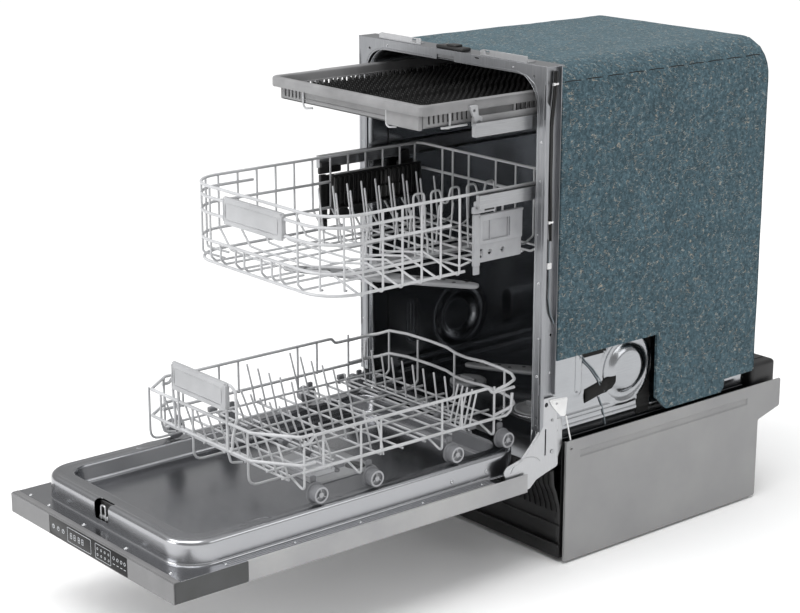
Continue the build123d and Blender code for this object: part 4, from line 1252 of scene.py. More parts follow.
def makeLowerBasket(p):
    w, front, back = p["half"] - 1.2, p["front"] + 1.2, p["back"] - 1.0
    rims, wires, runners = [], [], []

    def nose(z, tip):
        return [(w, tip, z), (w, front + p["cutY"], z), (w - p["cutX"], front, z),
                (-w + p["cutX"] - 22, front, z), (-w, front + p["cutY"] + 8, z), (-w, tip + 6, z)]

    rims.append((nose(320, -414), False, True))
    rims.append((nose(p["mid"], -410), False, True))
    for side in (-1, 1):
        x = side * w
        jog = -64 if side > 0 else -88
        rims.append([(x, -433, p["top"] - 10), (x, -420, p["top"] - 10), (x, -411, p["top"]),
                     (x, jog - 8, p["top"]), (x, jog, p["top"] - 9), (x, -18, p["top"] - 9)])
        rims.append([(x, -433, p["rail"]), (x, -34, p["rail"]), (x, -24, p["rail"] + 6), (x, -22, 300)])
        for y in (-395, -287, -127):
            wires.append([(x, y, p["top"] + 1), (x, y, p["rail"] - 3)])
        wires.append([(x, -430, 320), (x, -430, 300)])
    for y in (-430, -325, -167, -60):
        wires.append([(w, y, p["top"]), (w, y, p["dip"] - 2), (w - 34, y, p["floor"]),
                      (-w + 34, y, p["floor"]), (-w, y, p["dip"] - 2), (-w, y, p["top"])])
    for y in (-440, -395, -362, -348, -268, -225, -180, -127, -97, -83, -22):
        wires.append([(w - 24, y, p["floor"] - 1), (-w + 24, y, p["floor"] - 1)])
    for x in (-150, -96, -42, 12, 66, 120, 158):
        wires.append([(x, -452, 253.8), (x, -14, 253.8)])
    for x in (-150, -30, 112):
        runners.append([(x, front + 0.5, 321), (x, front + 0.5, 235.5), (x, front + 60, 235.5),
                        (x, front + 62, 251)])
    for x in (-118, 60):
        wires.append([(x, front + 1, 321), (x, front + 1, p["mid"] - 2), (x, front + 6, 256),
                      (x, front + 26, 252)])
    # the wavy back arches and the loops that return along both sides
    for drop in (0, 40):
        arch = [(-w, -58, 308 - drop), (-w, -20, 309 - drop), (-w + 3, back - 6, 310 - drop),
                (-w + 14, back, 313 - drop), (-137, back, 326 - drop), (-90, back, 331 - drop),
                (-30, back, 332 - drop), (10, back, 331 - drop), (34, back, 326 - drop),
                (60, back, 325 - drop), (100, back, 328 - drop), (140, back, 327 - drop),
                (w - 18, back, 324 - drop), (w - 3, back - 7, 320 - drop), (w, back - 24, 316 - drop),
                (w, -60, 311 - drop)]
        rims.append((arch, False, True))
    for x in (-137, -62, 30, 150):
        wires.append([(x, back - 1, 327), (x, back - 1, p["floor"] + 6), (x, back - 8, p["floor"]),
                      (x, back - 34, p["floor"])])
    tines = []
    for i in range(11):
        tines.append(tineAt(-140 + i * 29.8, -440, 250, 60, -0.32))
    for i in range(12):
        tines.append(tineAt(-165 + i * 30, -268, 250, 66, -0.22))
    for i in range(6):
        tines.append(tineAt(-165 + i * 29, -180, 250, 68, -0.24))
    for i in range(5):
        tines.append(tineAt(122 + i * 11, -97, 250, 62, 0.26))
    basket = [wireMesh("rim", rims, p["rim"], 9, 4), wireMesh("wire", wires, p["wire"], 7, 3),
              wireMesh("tine", tines, p["tine"], 4, 3), wireMesh("runner", runners, p["wire"], 17, 6)]
    finishSet("lowerBasketWires", basket, "lower_rack", nylonWire, "rack_nylon", ["lower_basket"])
    brackets = []
    for side in (-1, 1):
        for y in (-410, -306, -147, -42):
            x0, x1 = sorted((side * 174.5, side * 178.5))
            shape = softenOutline([(y - 5, 254), (y - 4, 226), (y, 223), (y + 4, 226), (y + 5, 254)], 3)
            brackets.append(plateShape("clip", "yz", x0, [shape], x1 - x0, 0.8))
        for y in (-352, -90):
            brackets.append(sideBlock("tineClip", side, 168, 160, y - 8, y + 8, 250, 259, 2))
            brackets.append(latheZ("knob", (side * 164, y - 4, 244),
                                   [(3.4, 0), (3.6, 3), (2.4, 6), (0.2, 6.2)], 16))
    for y in (-352, -90):
        for x in (-52, 30, 88):
            brackets.append(blockPiece("clamp", x - 5, x + 5, y - 9, y + 9, 251, 257.5, 1.6))
            brackets.append(latheZ("stud", (x, y, 242), [(2.8, 0), (3.2, 2), (3.2, 9), (0.3, 9.4)], 14))
    finishSet("basketClips", brackets, "lower_rack", wheelGrey)


makeLowerBasket(low)


def makeFoldRow(p):
    rows = {"tines_front": ("lower_tines_front", -355, -72, 150, 10),
            "tines_rear": ("lower_tines_rear", -90, -98, 110, 9)}
    for body, (node, y, x0, x1, count) in rows.items():
        lean, height = (-0.36, 62) if body == "tines_front" else (-0.14, 66)
        runs = [tineAt(x0 + (x1 - x0) * i / (count - 1), y, 259.3, height, lean) for i in range(count)]
        runs.append([(x0 - 6, y, 259.3), (x1 + 6, y, 259.3)])
        piece = wireSet(body + "Wires", runs, p["tine"], 4, 3)
        finishPiece(piece, body, nylonWire, "rack_nylon", [node])


makeFoldRow(low)

wheel = {"stations": (-410, -306, -147, -42), "z": 229.9, "from": 188, "r": 15.9, "flange": 8.4}


def makeWheels(p):
    for number, y in enumerate(p["stations"], 1):
        rubberParts, rings = [], []
        for side in (-1, 1):
            x = side * p["from"]
            d0 = -p["flange"]
            tread = [(d0, 12.0), (d0 + 0.2, 15.2), (d0 + 0.9, p["r"]), (d0 + 2.4, p["r"]),
                     (d0 + 3.1, 15.2), (d0 + 3.3, 13.2), (d0 + 4, 12.7), (-0.6, 12.6), (-0.2, 13.1),
                     (0.4, 13.2), (8.6, 12.9), (9.2, 12.2), (9.4, 11.4), (9.3, 9.4), (6.6, 9.0),
                     (6.4, 4.6), (8.4, 4.2), (8.6, 3.0), (8.5, 0.1)]
            rubberParts.append(latheX("tread", (x, y, p["z"]), [(side * d, r) for d, r in tread], 44))
            for k in range(3):
                turn = math.radians(90 + k * 120)
                c, s = math.cos(turn), math.sin(turn)
                spoke = [(x + side * dx, y + c * t - s * v, p["z"] + s * t + c * v) for dx in (6.3, 8.4)
                         for t, v in ((3.6, -0.6), (9.3, -0.8), (9.3, 0.8), (3.6, 0.6))]
                faces = [(0, 1, 2, 3), (7, 6, 5, 4), (0, 4, 5, 1), (1, 5, 6, 2), (2, 6, 7, 3),
                         (3, 7, 4, 0)]
                rings.append(meshPiece("spoke", spoke, faces, smooth=False))
            ring = [(9.0, 12.3), (9.7, 12.2), (10.0, 11.6), (10.0, 10.3), (9.7, 9.6), (8.8, 9.5)]
            band = [[(x + side * d, cy, cz) for cy, cz in circleOutline(y, p["z"], r, 44)]
                    for d, r in ring]
            rings.append(loftLoops("ring", band, capLast=False))
            rings.append(latheX("cap", (x, y, p["z"]), [(side * d, r)
                    for d, r in ((8.3, 4.3), (9.4, 3.8), (9.8, 2.2), (9.8, 0.1))], 24))
        node = "lower_wheels_%d" % number
        finishPiece(shadeByAngle(joinPieces("wheelTreads%d" % number, rubberParts), 45),
                    "wheels_%d" % number, wheelGrey, "wheel_grey", [node])
        finishPiece(shadeByAngle(joinPieces("wheelRings%d" % number, rings), 45), "wheels_%d" % number,
                    hubGrey)


makeWheels(wheel)


def makeHandle(name, body, node, halfX, y0, z0, z1, stalks):
    # a curved grip plate with folded ends, hung on bent wires
    rows = []
    height = z1 - z0
    for i in range(15):
        t = i / 14
        z = z0 + height * t
        back = 2.5 * math.sin(math.pi * t) + 5.0 * smoothStep((t - 0.86) / 0.14)
        row = []
        for j in range(25):
            s = -1 + 2 * j / 24
            x = s * halfX
            curve = 0.6 * (1 - s * s) + 4.0 * smoothStep((abs(s) - 0.93) / 0.07)
            row.append((x, y0 + 0.3 + back * 0.6 + curve, z))
        rows.append(row)
    plate = gridSheet("plate", rows, 2.0)
    shadeByAngle(plate, 50)
    lip = blockPiece("lip", -halfX + 2, halfX - 2, y0 + 2.6, y0 + 9.5, z1 - 2.6, z1 - 0.2, 1.1)
    foot = blockPiece("foot", -halfX + 4, halfX - 4, y0 + 2, y0 + 5.5, z0 + 0.2, z0 + 2.6, 1.0)
    recess = []
    inner = roundedOutline(-halfX + 9, halfX - 9, z0 + 7, z1 - 8, 3)
    recess.append(([(x, y0 + 1.4, z) for x, z in inner], True))
    line = wireMesh("line", recess, 0.45, 0.1, 2)
    ends = []
    for side in (-1, 1):
        ends.append(sideBlock("end", side, halfX, halfX - 3.2, y0 + 2.2, y0 + 10.5, z0 + 3, z1 - 4, 1.2))
        ends.append(sideBlock("snap", side, halfX - 12, halfX - 26, y0 + 3, y0 + 9, z0 + 8, z0 + 14, 1.2))
    finishSet(name, [plate, lip, foot, line] + ends, body, handleGrey, "rack_grey", [node])
    if stalks:
        finishPiece(wireSet(name + "Stalks", stalks, 2.3, 8, 3), body, nylonWire)


stalkRuns = []
for turnSide in (-1, 1):
    stalkRuns.append([(turnSide * 58, -481, 379), (turnSide * 73, -480, 381), (turnSide * 82, -477, 372),
                      (turnSide * 84, -477, 330), (turnSide * 76, -479.5, 300),
                      (turnSide * 74, -480, 276)])
    stalkRuns.append([(turnSide * 60, -481, 366), (turnSide * 64, -480.5, 335),
                      (turnSide * 64, -480, 276)])
makeHandle("lowerHandlePlate", "lower_rack", "lower_handle", 71, -490, 342, 384, stalkRuns)
print("lower basket made")

# the upper basket

high = {"half": 182, "front": -380, "back": 96, "top": 630, "corner": 60, "rim": 2.4, "wire": 1.8,
        "tine": 1.5}


def makeUpperBasket(p):
    w, front, back, corner = p["half"] - 1.2, p["front"] + 1.4, p["back"] - 1.2, p["corner"]
    rims, wires = [], []

    def nose(z, near, far, inset=0.0):
        ww = w - inset
        path = [(ww, near, z), (ww, front + corner, z)]
        for a in range(10, 90, 10):
            path.append((ww - corner + corner * math.cos(math.radians(a)),
                         front + corner - corner * math.sin(math.radians(a)), z))
        path += [(ww - corner, front, z), (-ww + corner, front, z)]
        for a in range(10, 90, 10):
            path.append((-ww + corner - corner * math.sin(math.radians(a)),
                         front + corner - corner * math.cos(math.radians(a)), z))
        path += [(-ww, front + corner, z), (-ww, far, z)]
        return path

    loop = nose(p["top"], back - 16, back - 16)
    rims.append((loop + [(-w, back - 6, p["top"]), (-w + 12, back, p["top"]), (w - 12, back, p["top"]),
                         (w, back - 6, p["top"])], True))
    rims.append((nose(p["top"] - 17, -226, -250, 0.4), False, True))
    rims.append((nose(588, -150, 84, 0.6), False, True))
    rims.append((nose(545, -206, -84, 1.0), False, True))
    rims.append((nose(512, -120, -70, 3.4), False, True))
    rims.append([(-w, back - 8, 588), (-w + 10, back, 588), (w - 10, back, 588), (w, back - 10, 588),
                 (w, back - 40, 588)])
    stations = (-318, -281, -244, -207, -170, -133, -96, -59, -22, 15, 52, 85)
    for y in stations:
        right = w if y < -118 else w - 14
        run = [(right, y, p["top"]), (right, y, 507), (right - 82, y, 529), (10, y, 513), (-112, y, 512),
               (-150, y, 514), (-w, y, 546), (-w, y, p["top"])]
        if y >= -118:
            run = [(w - 18, y, 520), (w - 40, y, 509), (right - 82, y, 508.6), (10, y, 508.8),
                   (-112, y, 512), (-150, y, 514), (-w, y, 546), (-w, y, p["top"])]
        wires.append(run)
    for y in (88, 20, -46):
        wires.append([(w, y, p["top"]), (w, y, 592)])
    for x in (-118, -92, -52, 14, 61, 104):
        wires.append([(x, front + 1, p["top"] if x in (-118, 104) else 545), (x, front + 1, 520),
                      (x, front + 10, 511), (x, back - 20, 511), (x, back - 2, 520),
                      (x, back - 2, p["top"])])
    for x in (-30, 40):
        wires.append([(x, front + 1, 546), (x, front + 1, 519), (x, front + 8, 512),
                      (x, front + 60, 512)])
    for side in (-1, 1):
        for a in (28, 62):
            cx = side * (w - corner + corner * math.cos(math.radians(a)))
            cy = front + corner - corner * math.sin(math.radians(a))
            wires.append([(cx, cy, p["top"] + 1), (cx, cy, 520), (cx - side * 26, cy + 24, 511)])
    tines = []
    for x in (-50, -95):
        for i in range(8):
            tines.append(tineAt(x, -176 + i * 29, 512, 88, 0.0, -0.16))
    for i in range(7):
        tines.append(tineAt(10, -176 + i * 29, 512, 62, 0.0, 0.12))
    basket = [wireMesh("rim", rims, p["rim"], 6, 4), wireMesh("wire", wires, p["wire"], 7, 3),
              wireMesh("tine", tines, p["tine"], 4, 3)]
    pipe = wireMesh("pipe", [[(0, 94, 491.8), (0, -150, 491.8)]], 8, 4, 6)
    collar = latheZ("collar", (0, -140, 478.8), [(12, 0), (14, 1.5), (14, 7), (9, 9), (9, 14)], 32)
    finishSet("upperBasketWires", basket, "upper_rack", nylonWire, "rack_nylon", ["upper_basket"])
    finishSet("feedPipe", [pipe, collar], "upper_rack", innerGrey)


makeUpperBasket(high)
makeHandle("upperHandlePlate", "upper_rack", "upper_handle", 75, -386.5, 581, 622, [])

holders = {"axisX": 70, "axisZ": 512.8, "top": 612, "humps": [(-126, -104, 0), (-90, -32, 1),
        (-16, 42, 1)]}


def makeHolders(p):
    runs = [[(p["axisX"], -129, p["axisZ"]), (p["axisX"], 64, p["axisZ"])]]
    lean = -0.05

    def spot(y, z):
        return (p["axisX"] + (z - p["axisZ"]) * lean, y, z)

    for y0, y1, heart in p["humps"]:
        top = p["top"]
        if heart:
            third = (y1 - y0) / 3
            path = [spot(y0, p["axisZ"]), spot(y0, top), spot(y0 + third * 0.9, top),
                    spot(y0 + third * 1.25, top - 22), spot(y1 - third * 1.25, top - 22),
                    spot(y1 - third * 0.9, top), spot(y1, top), spot(y1, p["axisZ"])]
        else:
            path = [spot(y0, p["axisZ"]), spot(y0, top), spot(y1, top), spot(y1, p["axisZ"] + 38),
                    spot(y1 + 4, p["axisZ"] + 28), spot(y1 + 4, p["axisZ"])]
        runs.append(path)
    piece = wireSet("glassHolderWires", runs, 1.7, 7, 3)
    finishPiece(piece, "cup_tines", nylonWire, "rack_nylon", ["upper_tines"])


makeHolders(holders)

adjuster = {"x0": 185.5, "x1": 191.4, "y0": -115, "y1": -14, "z0": 506, "z1": 604}


def makeAdjusters(p):
    dark = []
    for side in (-1, 1):
        pieces = []
        a, b = sorted((side * p["x0"], side * (p["x1"] - 2.4)))
        outer = side * p["x1"]
        back = [roundedOutline(p["y0"] + 14, p["y1"], 524, 552, 2), circleOutline(-78, 538, 4.2, 18),
                circleOutline(-52, 538, 4.2, 18)]
        back.append(roundedOutline(-99, -93, 531, 545, 2))
        pieces.append(plateShape("lowPlate", "yz", a, back, b - a, 0.8))
        box = [roundedOutline(p["y0"] + 14, p["y1"], 552, 596, 2.5),
               roundedOutline(p["y0"] + 20, p["y1"] - 26, 558, 588, 2)]
        wide = sorted((a if side > 0 else outer, b if side < 0 else outer))
        pieces.append(plateShape("frame", "yz", wide[0], box, wide[1] - wide[0], 0.9))
        pieces.append(blockPiece("panel", a, b, p["y0"] + 18, p["y1"] - 24, 556, 590, 0.8))
        pieces.append(blockPiece("post", wide[0], wide[1], p["y0"] + 2, p["y0"] + 15, p["z0"] + 14, 600,
                                 1.6))
        pieces.append(blockPiece("foot", a, b, p["y0"] + 4, p["y0"] + 16, p["z0"], p["z0"] + 18, 1.4))
        pieces.append(blockPiece("shelf", wide[0], wide[1], p["y0"] + 10, p["y1"] + 2, 594, 598, 1.2))
        pieces.append(blockPiece("lever", wide[0], wide[1], p["y0"], p["y0"] + 46, 601, 612, 2.2))
        pieces.append(blockPiece("grip", wide[0], wide[1], p["y0"] + 4, p["y0"] + 22, 610, 620, 2.2))
        for y in (p["y0"] + 34, p["y1"] - 30, p["y1"] - 14):
            pieces.append(blockPiece("rib", wide[0], wide[1], y, y + 1.6, 556, 592, 0.5, 2))
        rear = sorted((side * p["x0"], outer))
        pieces.append(blockPiece("rearBlock", rear[0], rear[1], 52, 86, 541, 603, 2))
        pieces.append(blockPiece("link", rear[0], rear[1], 58, 78, 600, 620, 1.6))
        # painted shade: a thin black plate on each lever's outer face stands for the dark of its slot
        dark.append(blockPiece("slot", *sorted((side * (p["x1"] - 0.4), outer + side * 0.05)),
                               p["y0"] + 22, p["y0"] + 42, 604, 608.5, 0.3, 2))
        # painted shade: the left adjuster, the same part as the pale grey right one, is drawn in black
        name = "heightAdjusterRight" if side > 0 else "heightAdjusterLeftShaded"
        finishSet(name, pieces, "upper_rack", hubGrey if side > 0 else blackComb, "rack_grey",
                  ["upper_adjusters"])
    finishSet("adjusterSlotShade", dark, "upper_rack", blackComb)


makeAdjusters(adjuster)

comb = {"x": -170, "thick": 3.6, "y0": -104, "y1": 88, "z0": 545, "z1": 601, "slots": 19}


def makeComb(p):
    outline = roundedOutline(p["y0"], p["y1"], p["z0"], p["z1"], 4)
    pitch = (p["y1"] - p["y0"] - 10) / p["slots"]
    slotsCut = []
    for i in range(p["slots"]):
        y = p["y0"] + 6 + i * pitch
        slotsCut.append(roundedOutline(y, y + pitch * 0.46, p["z0"] + 6, p["z0"] + 24, 1))
        slotsCut.append(roundedOutline(y, y + pitch * 0.46, p["z0"] + 28, p["z1"] - 6, 1))
    plate = plateShape("plate", "yz", p["x"], [outline] + slotsCut, p["thick"], 0.6)
    ribs = [blockPiece("tooth", p["x"] + 3, p["x"] + 9, p["y0"] + 2 + i * pitch, p["y0"] + 4 + i * pitch,
                       p["z0"] + 4, p["z1"] - 3, 0.6, 2) for i in range(p["slots"] + 1)]
    lip = blockPiece("lip", p["x"], p["x"] + 12, p["y0"] + 1, p["y1"] - 1, p["z0"] + 1, p["z0"] + 4, 1)
    finishSet("cupShelfComb", [plate, lip] + ribs, "cup_shelf", blackComb, "comb_black",
              ["cup_shelf_left"])
    rows = []
    for i in range(9):
        t = i / 8
        rows.append([(p["x"] + 4 + 12 * t, y, p["z1"] + 0.6 + 4 * math.sin(t * 1.7))
                     for y in range(int(p["y0"]) + 4, -6, 6)])
    flap = gridSheet("shelfFlap", rows, 1.6)
    finishPiece(flap, "cup_shelf", trayGrey)


makeComb(comb)
print("upper basket made")


def sprayArm(name, body, node, centre, reach, z0, z1, turn, hub, hubLow, hubHigh):
    # two hollow blades with a spine, seen as a soft lens, and a round hub with spray holes; the holes are
    # small bosses drawn black, painted shade for the dark inside them
    cx, cy = centre
    loops = []
    steps = 44
    rings = [(0.60, 0.0), (0.92, 0.12), (1.0, 0.4), (1.0, 0.6), (0.94, 0.86), (0.7, 1.0), (0.25, 1.0)]
    for grow, rise in rings:
        loop = []
        for k in range(steps):
            a = 2 * math.pi * k / steps
            c, s = math.cos(a), math.sin(a)
            long = math.copysign(abs(c) ** 0.55, c) * (reach - (1 - grow) * 13)
            width = 13 + 8.5 * (1 - abs(long) / reach)
            wide = math.copysign(abs(s) ** 0.55, s) * width * (0.3 + 0.7 * grow)
            r = math.radians(turn)
            loop.append((cx + long * math.cos(r) - wide * math.sin(r),
                         cy + long * math.sin(r) + wide * math.cos(r), z0 + (z1 - z0) * rise))
        loops.append(loop)
    blade = shadeByAngle(loftLoops("blade", loops, capFirst=True), 55)
    centreHub = latheZ("hub", (cx, cy, hubLow), [(hub * 0.7, 0), (hub, 1), (hub, hubHigh - hubLow - 2.5),
            (hub * 0.8, hubHigh - hubLow - 0.6), (hub * 0.35, hubHigh - hubLow),
            (0.1, hubHigh - hubLow)], 36)
    finishSet(name, [blade, centreHub], body, innerGrey, "inner_plastic", [node])
    # painted shade: black nozzle bosses stand for the dark of the spray holes
    sprayHoleShades = []
    r = math.radians(turn)
    for side in (-1, 1):
        for i, t in enumerate((0.24, 0.38, 0.52, 0.64, 0.76, 0.87)):
            off = 5 if i % 2 else -4
            x = cx + side * reach * t * math.cos(r) - off * math.sin(r)
            y = cy + side * reach * t * math.sin(r) + off * math.cos(r)
            sprayHoleShades.append(latheZ("sprayHoleShade", (x, y, z1 - 0.25),
                               [(3.4, 0), (3.2, 0.6), (1.7, 0.7), (1.4, 0.3), (0.1, 0.3)], 16))
    finishSet(name + "SprayHoleShades", sprayHoleShades, body, blackComb)


sprayArm("lowerArmBlades", "lower_arm", "lower_spray_arm", (0, 262), 169, 226.3, 233.6, 34, 15, 216.4,
         236)
sprayArm("upperArmBlades", "upper_arm", "upper_spray_arm", (0, -140), 164, 466.8, 474.4, 30, 15.6, 464.8,
         478.3)

# the cutlery tray

tray = {"half": 187, "front": -213, "back": 250, "corner": 15, "wall": 2.2}


def makeTray(p):
    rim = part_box("tray_body")[1].z * 1000
    low = rim - 36
    w, f, b, c = p["half"], p["front"], p["back"], p["corner"]

    def ring(inset, z, corner=None):
        loop = roundedLoop(w - inset, f + inset, b - inset, corner or max(c - inset * 0.5, 4), 7)
        return [(x, y, z) for x, y in loop]

    loops = [ring(7, rim - 15.5), ring(0.8, rim - 15.5), ring(0.2, rim - 14.6), ring(0.1, rim - 4),
             ring(0.9, rim - 1.4), ring(2.6, rim - 0.2), ring(8.5, rim - 0.2), ring(10.2, rim - 1.2),
             ring(10.8, rim - 3), ring(11.2, rim - 12), ring(11.6, rim - 15)]
    band = shadeByAngle(loftLoops("band", loops, capLast=False), 45)
    pieces = [band]
    # slotted lower walls set in from the rim
    z0, z1 = low, rim - 13
    inset = 14

    def slotted(a0, a1, skip=()):
        made = []
        step = 9.2
        count = int((a1 - a0 - 16) / step)
        for i in range(count):
            a = a0 + 10 + i * step
            if any(s0 < a < s1 for s0, s1 in skip):
                continue
            made.append(roundedOutline(a, a + 3.6, z0 + 5, z1 - 1.5, 1.4))
        return made

    frontRows = [roundedOutline(-w + inset, w - inset, z0, z1, 1)] + slotted(-w + inset, w - inset,
            [(-120, 120)])
    pieces.append(plateShape("frontWall", "xz", f + inset, frontRows, p["wall"], 0.5))
    for z in (z0 + 6, z0 + 17):
        pieces.append(blockPiece("frontRib", -112, 112, f + inset - 1.5, f + inset + 0.5, z, z + 1.8,
                                 0.7, 2))
    pieces.append(blockPiece("frontStep", 96, 172, f + inset - 7, f + inset + 1, z0 - 3, z1, 2.5))
    rearRows = [roundedOutline(-w + inset, w - inset, z0, z1, 1)] + slotted(-w + inset, w - inset)
    pieces.append(plateShape("rearWall", "xz", b - inset, rearRows, p["wall"], 0.5))
    for side in (-1, 1):
        rows = [roundedOutline(f + inset, b - inset, z0, z1, 1)] + slotted(f + inset, b - inset,
                [(-90, -20)] if side > 0 else [])
        x = side * (w - inset)
        pieces.append(plateShape("sideWall", "yz", min(x, x - side * p["wall"]), rows, p["wall"], 0.5))
    grid = [roundedOutline(-w + inset, w - inset, f + inset, b - inset, 4)]
    for i in range(12):
        for j in range(22):
            x = -164 + i * 28.5
            y = f + 26 + j * 19.4
            if y < b - 34:
                grid.append(roundedOutline(x, x + 19, y, y + 11, 2, 2))
    pieces.append(plateShape("floor", "xy", low, grid, 2, 0.4, 1))
    for side in (-1, 1):
        hanger = sorted((side * 187.2, side * 191.3))
        pieces.append(blockPiece("hanger", *hanger, -118, 238, low - 4, low + 11, 1.4))
        pieces.append(sideBlock("lip", side, 185.6, 189.9, -110, 236, rim - 2.2, rim - 0.2, 0.7))
    finishSet("trayShell", pieces, "tray", trayGrey, "tray_grey", ["tray_body"])
    slats = []
    combs = ((-172, -42), (-30, 30), (42, 172))
    base, crown = low + 2.4, low + 21.5
    for x0, x1 in combs:
        slats.append(blockPiece("spine", (x0 + x1) / 2 - 3, (x0 + x1) / 2 + 3, f + 18, b - 18, base,
                                base + 3.5, 1))
        slats.append(blockPiece("edge", x0, x0 + 2.5, f + 18, b - 18, base, base + 6, 0.8, 2))
        slats.append(blockPiece("edge", x1 - 2.5, x1, f + 18, b - 18, base, base + 6, 0.8, 2))
        for i in range(34):
            y = f + 24 + i * 12.3
            teeth = []
            count = max(int((x1 - x0) / 11), 4)
            for k in range(count):
                x = x0 + 2 + (x1 - x0 - 4) * k / count
                width = (x1 - x0 - 4) / count
                teeth += [(x, base + 7), (x + width * 0.28, crown - 1), (x + width * 0.5, crown),
                          (x + width * 0.72, crown - 1)]
            outline = [(x0 + 1, base)] + teeth + [(x1 - 1, base + 7), (x1 - 1, base)]
            slats.append(plateShape("slat", "xz", y, [outline], 1.6, 0.25, 1))
    finishSet("cutleryCombs", slats, "tray", blackComb, "comb_black", ["tray_inserts"])
    hooks = []
    for side in (-1, 1):
        for y in (-150, -20) if side > 0 else (-160, -60, 80):
            hooks.append([(side * (w - inset + 3), y, rim - 16), (side * (w - inset + 3), y, low - 4),
                          (side * (w - inset - 14), y, low - 6)])
    for x in (-112, 92):
        hooks.append([(x, f + inset - 2, rim - 15), (x, f + inset - 2, low - 4),
                      (x + 6, f + inset - 2, low - 7), (x + 16, f + inset + 4, low - 6)])
    hooks.append([(w - 9, -168, low - 2), (w - 9, -118, low - 2)])
    finishPiece(wireSet("trayHooks", hooks, 1.7, 4, 3), "tray", nylonWire)
    clip = []
    z = low - 6
    for side in (-1, 1):
        a, b2 = sorted((side * 186.2, side * 191.4))
        arm = [pillOutline(-104, -42, z + 4, z + 16, 6), circleOutline(-56, z + 10, 3.4, 16)]
        clip.append(plateShape("clipArm", "yz", a + 1.0, arm, b2 - a - 2, 1.0))
        head = softenOutline([(-124, z + 34), (-108, z + 34), (-106, z + 18), (-98, z + 15),
                              (-100, z + 1), (-108, z - 3), (-114, z + 4), (-116, z + 16)], 3)
        clip.append(plateShape("clipHead", "yz", a, [head, circleOutline(-106, z + 6, 2.6, 14),
                circleOutline(-115, z + 26, 2.2, 12)], b2 - a, 1.0))
        clip.append(latheX("clipBoss", (side * 186, -106, z + 6),
                           [(0, 5.6), (side * 4.9, 5.6), (side * 5.4, 4.8), (side * 5.4, 3),
                            (side * 4.4, 2.8)], 24))
        clip.append(blockPiece("clipRib", a + 0.6, b2 - 0.6, -96, -48, z + 8.6, z + 11.4, 0.8))
    finishSet("railStops", clip, "tray", handleGrey)


makeTray(tray)
print("tray made")

# small parts inside and below

def screwFront(name, x, z, y, r):
    # a pan-head screw facing the front
    profile = [(r * 1.02, 0.2), (r, -0.4), (r * 0.8, -0.9), (r * 0.5, -1.0), (r * 0.42, -0.4),
               (0.02, -0.35)]
    loops = [[(px, y + d, pz) for px, pz in circleOutline(x, z, q, 20)] for q, d in profile]
    return loftLoops(name, loops)


def makeFrameScrews():
    heads = [screwFront("screw", side * 214.5, z, 0, 2.6) for side in (-1, 1) for z in (700, 480, 330)]
    heads += [screwFront("rivet", side * x, z, 0, 1.5) for side in (-1, 1)
              for x, z in ((214, 640), (211, 556), (217, 392), (150, 806))]
    finishSet("frameScrewSet", heads, "cabinet", screwSteel, "screw_steel", ["frame_screws"])
    shadow = []
    for side in (-1, 1):
        # painted shade: thin black lines stand for the dark of the narrow slits and the folded line that
        # run down the frame's face
        shadow.append([(side * 221.2, -0.05, 735), (side * 221.2, -0.05, 790)])
        shadow.append([(side * 220.8, -0.05, 318), (side * 220.8, -0.05, 392)])
        shadow.append([(side * 219.6, 0.05, 250), (side * 219.6, 0.05, 300)])
    finishPiece(wireSet("frameSlitShade", shadow, 0.5, 1, 1), "cabinet", rubber)
    folds = []
    for side in (-1, 1):
        folds.append([(side * 208.3, 0.1, 246), (side * 208.3, 0.1, 752), (side * 206.5, 0.1, 768),
                      (side * 198, 0.1, 786), (side * 182, 0.1, 796), (side * 160, 0.1, 801),
                      (side * 40, 0.1, 801)])
        folds.append([(side * 218.6, 0.1, 246), (side * 218.6, 0.1, 770), (side * 221.5, 0.1, 792)])
    finishPiece(wireSet("frameFolds", folds, 0.7, 12, 3), "cabinet", frameSteel)


makeFrameScrews()

foot = {"pad": 17, "stem": 4.6, "pitch": 2.2}


def makeFeet(p):
    for name, x, y in (("foot_front_left", -180, 95), ("foot_front_right", 180, 95),
                       ("foot_rear", 0, 502)):
        body = {"foot_front_left": "foot_left", "foot_front_right": "foot_right",
                "foot_rear": "foot_back"}[name]
        profile = [(p["pad"] - 1, 0), (p["pad"], 0.8), (p["pad"], 3.6), (p["pad"] - 1.2, 4.6), (9, 6.2),
                   (8, 9), (p["stem"] - 0.7, 9.2)]
        z = 10.0
        while z < 82:
            profile += [(p["stem"], z), (p["stem"] - 0.8, z + p["pitch"] / 2)]
            z += p["pitch"]
        profile += [(p["stem"] - 0.9, 84)]
        pad = latheZ("pad", (x, y, 0), profile, 28)
        grip = ringBlocks("grip", x, y, 15.6, 0.8, 0.8, 5, 12)
        finishPiece(shadeByAngle(joinPieces(name + "Thread", [pad] + grip), 50), body, basePlastic,
                    "base_plastic", [name])


makeFeet(foot)

filterPart = {"x": 72, "y": 140, "half": 52, "hole": 38.6, "z": 205.6}


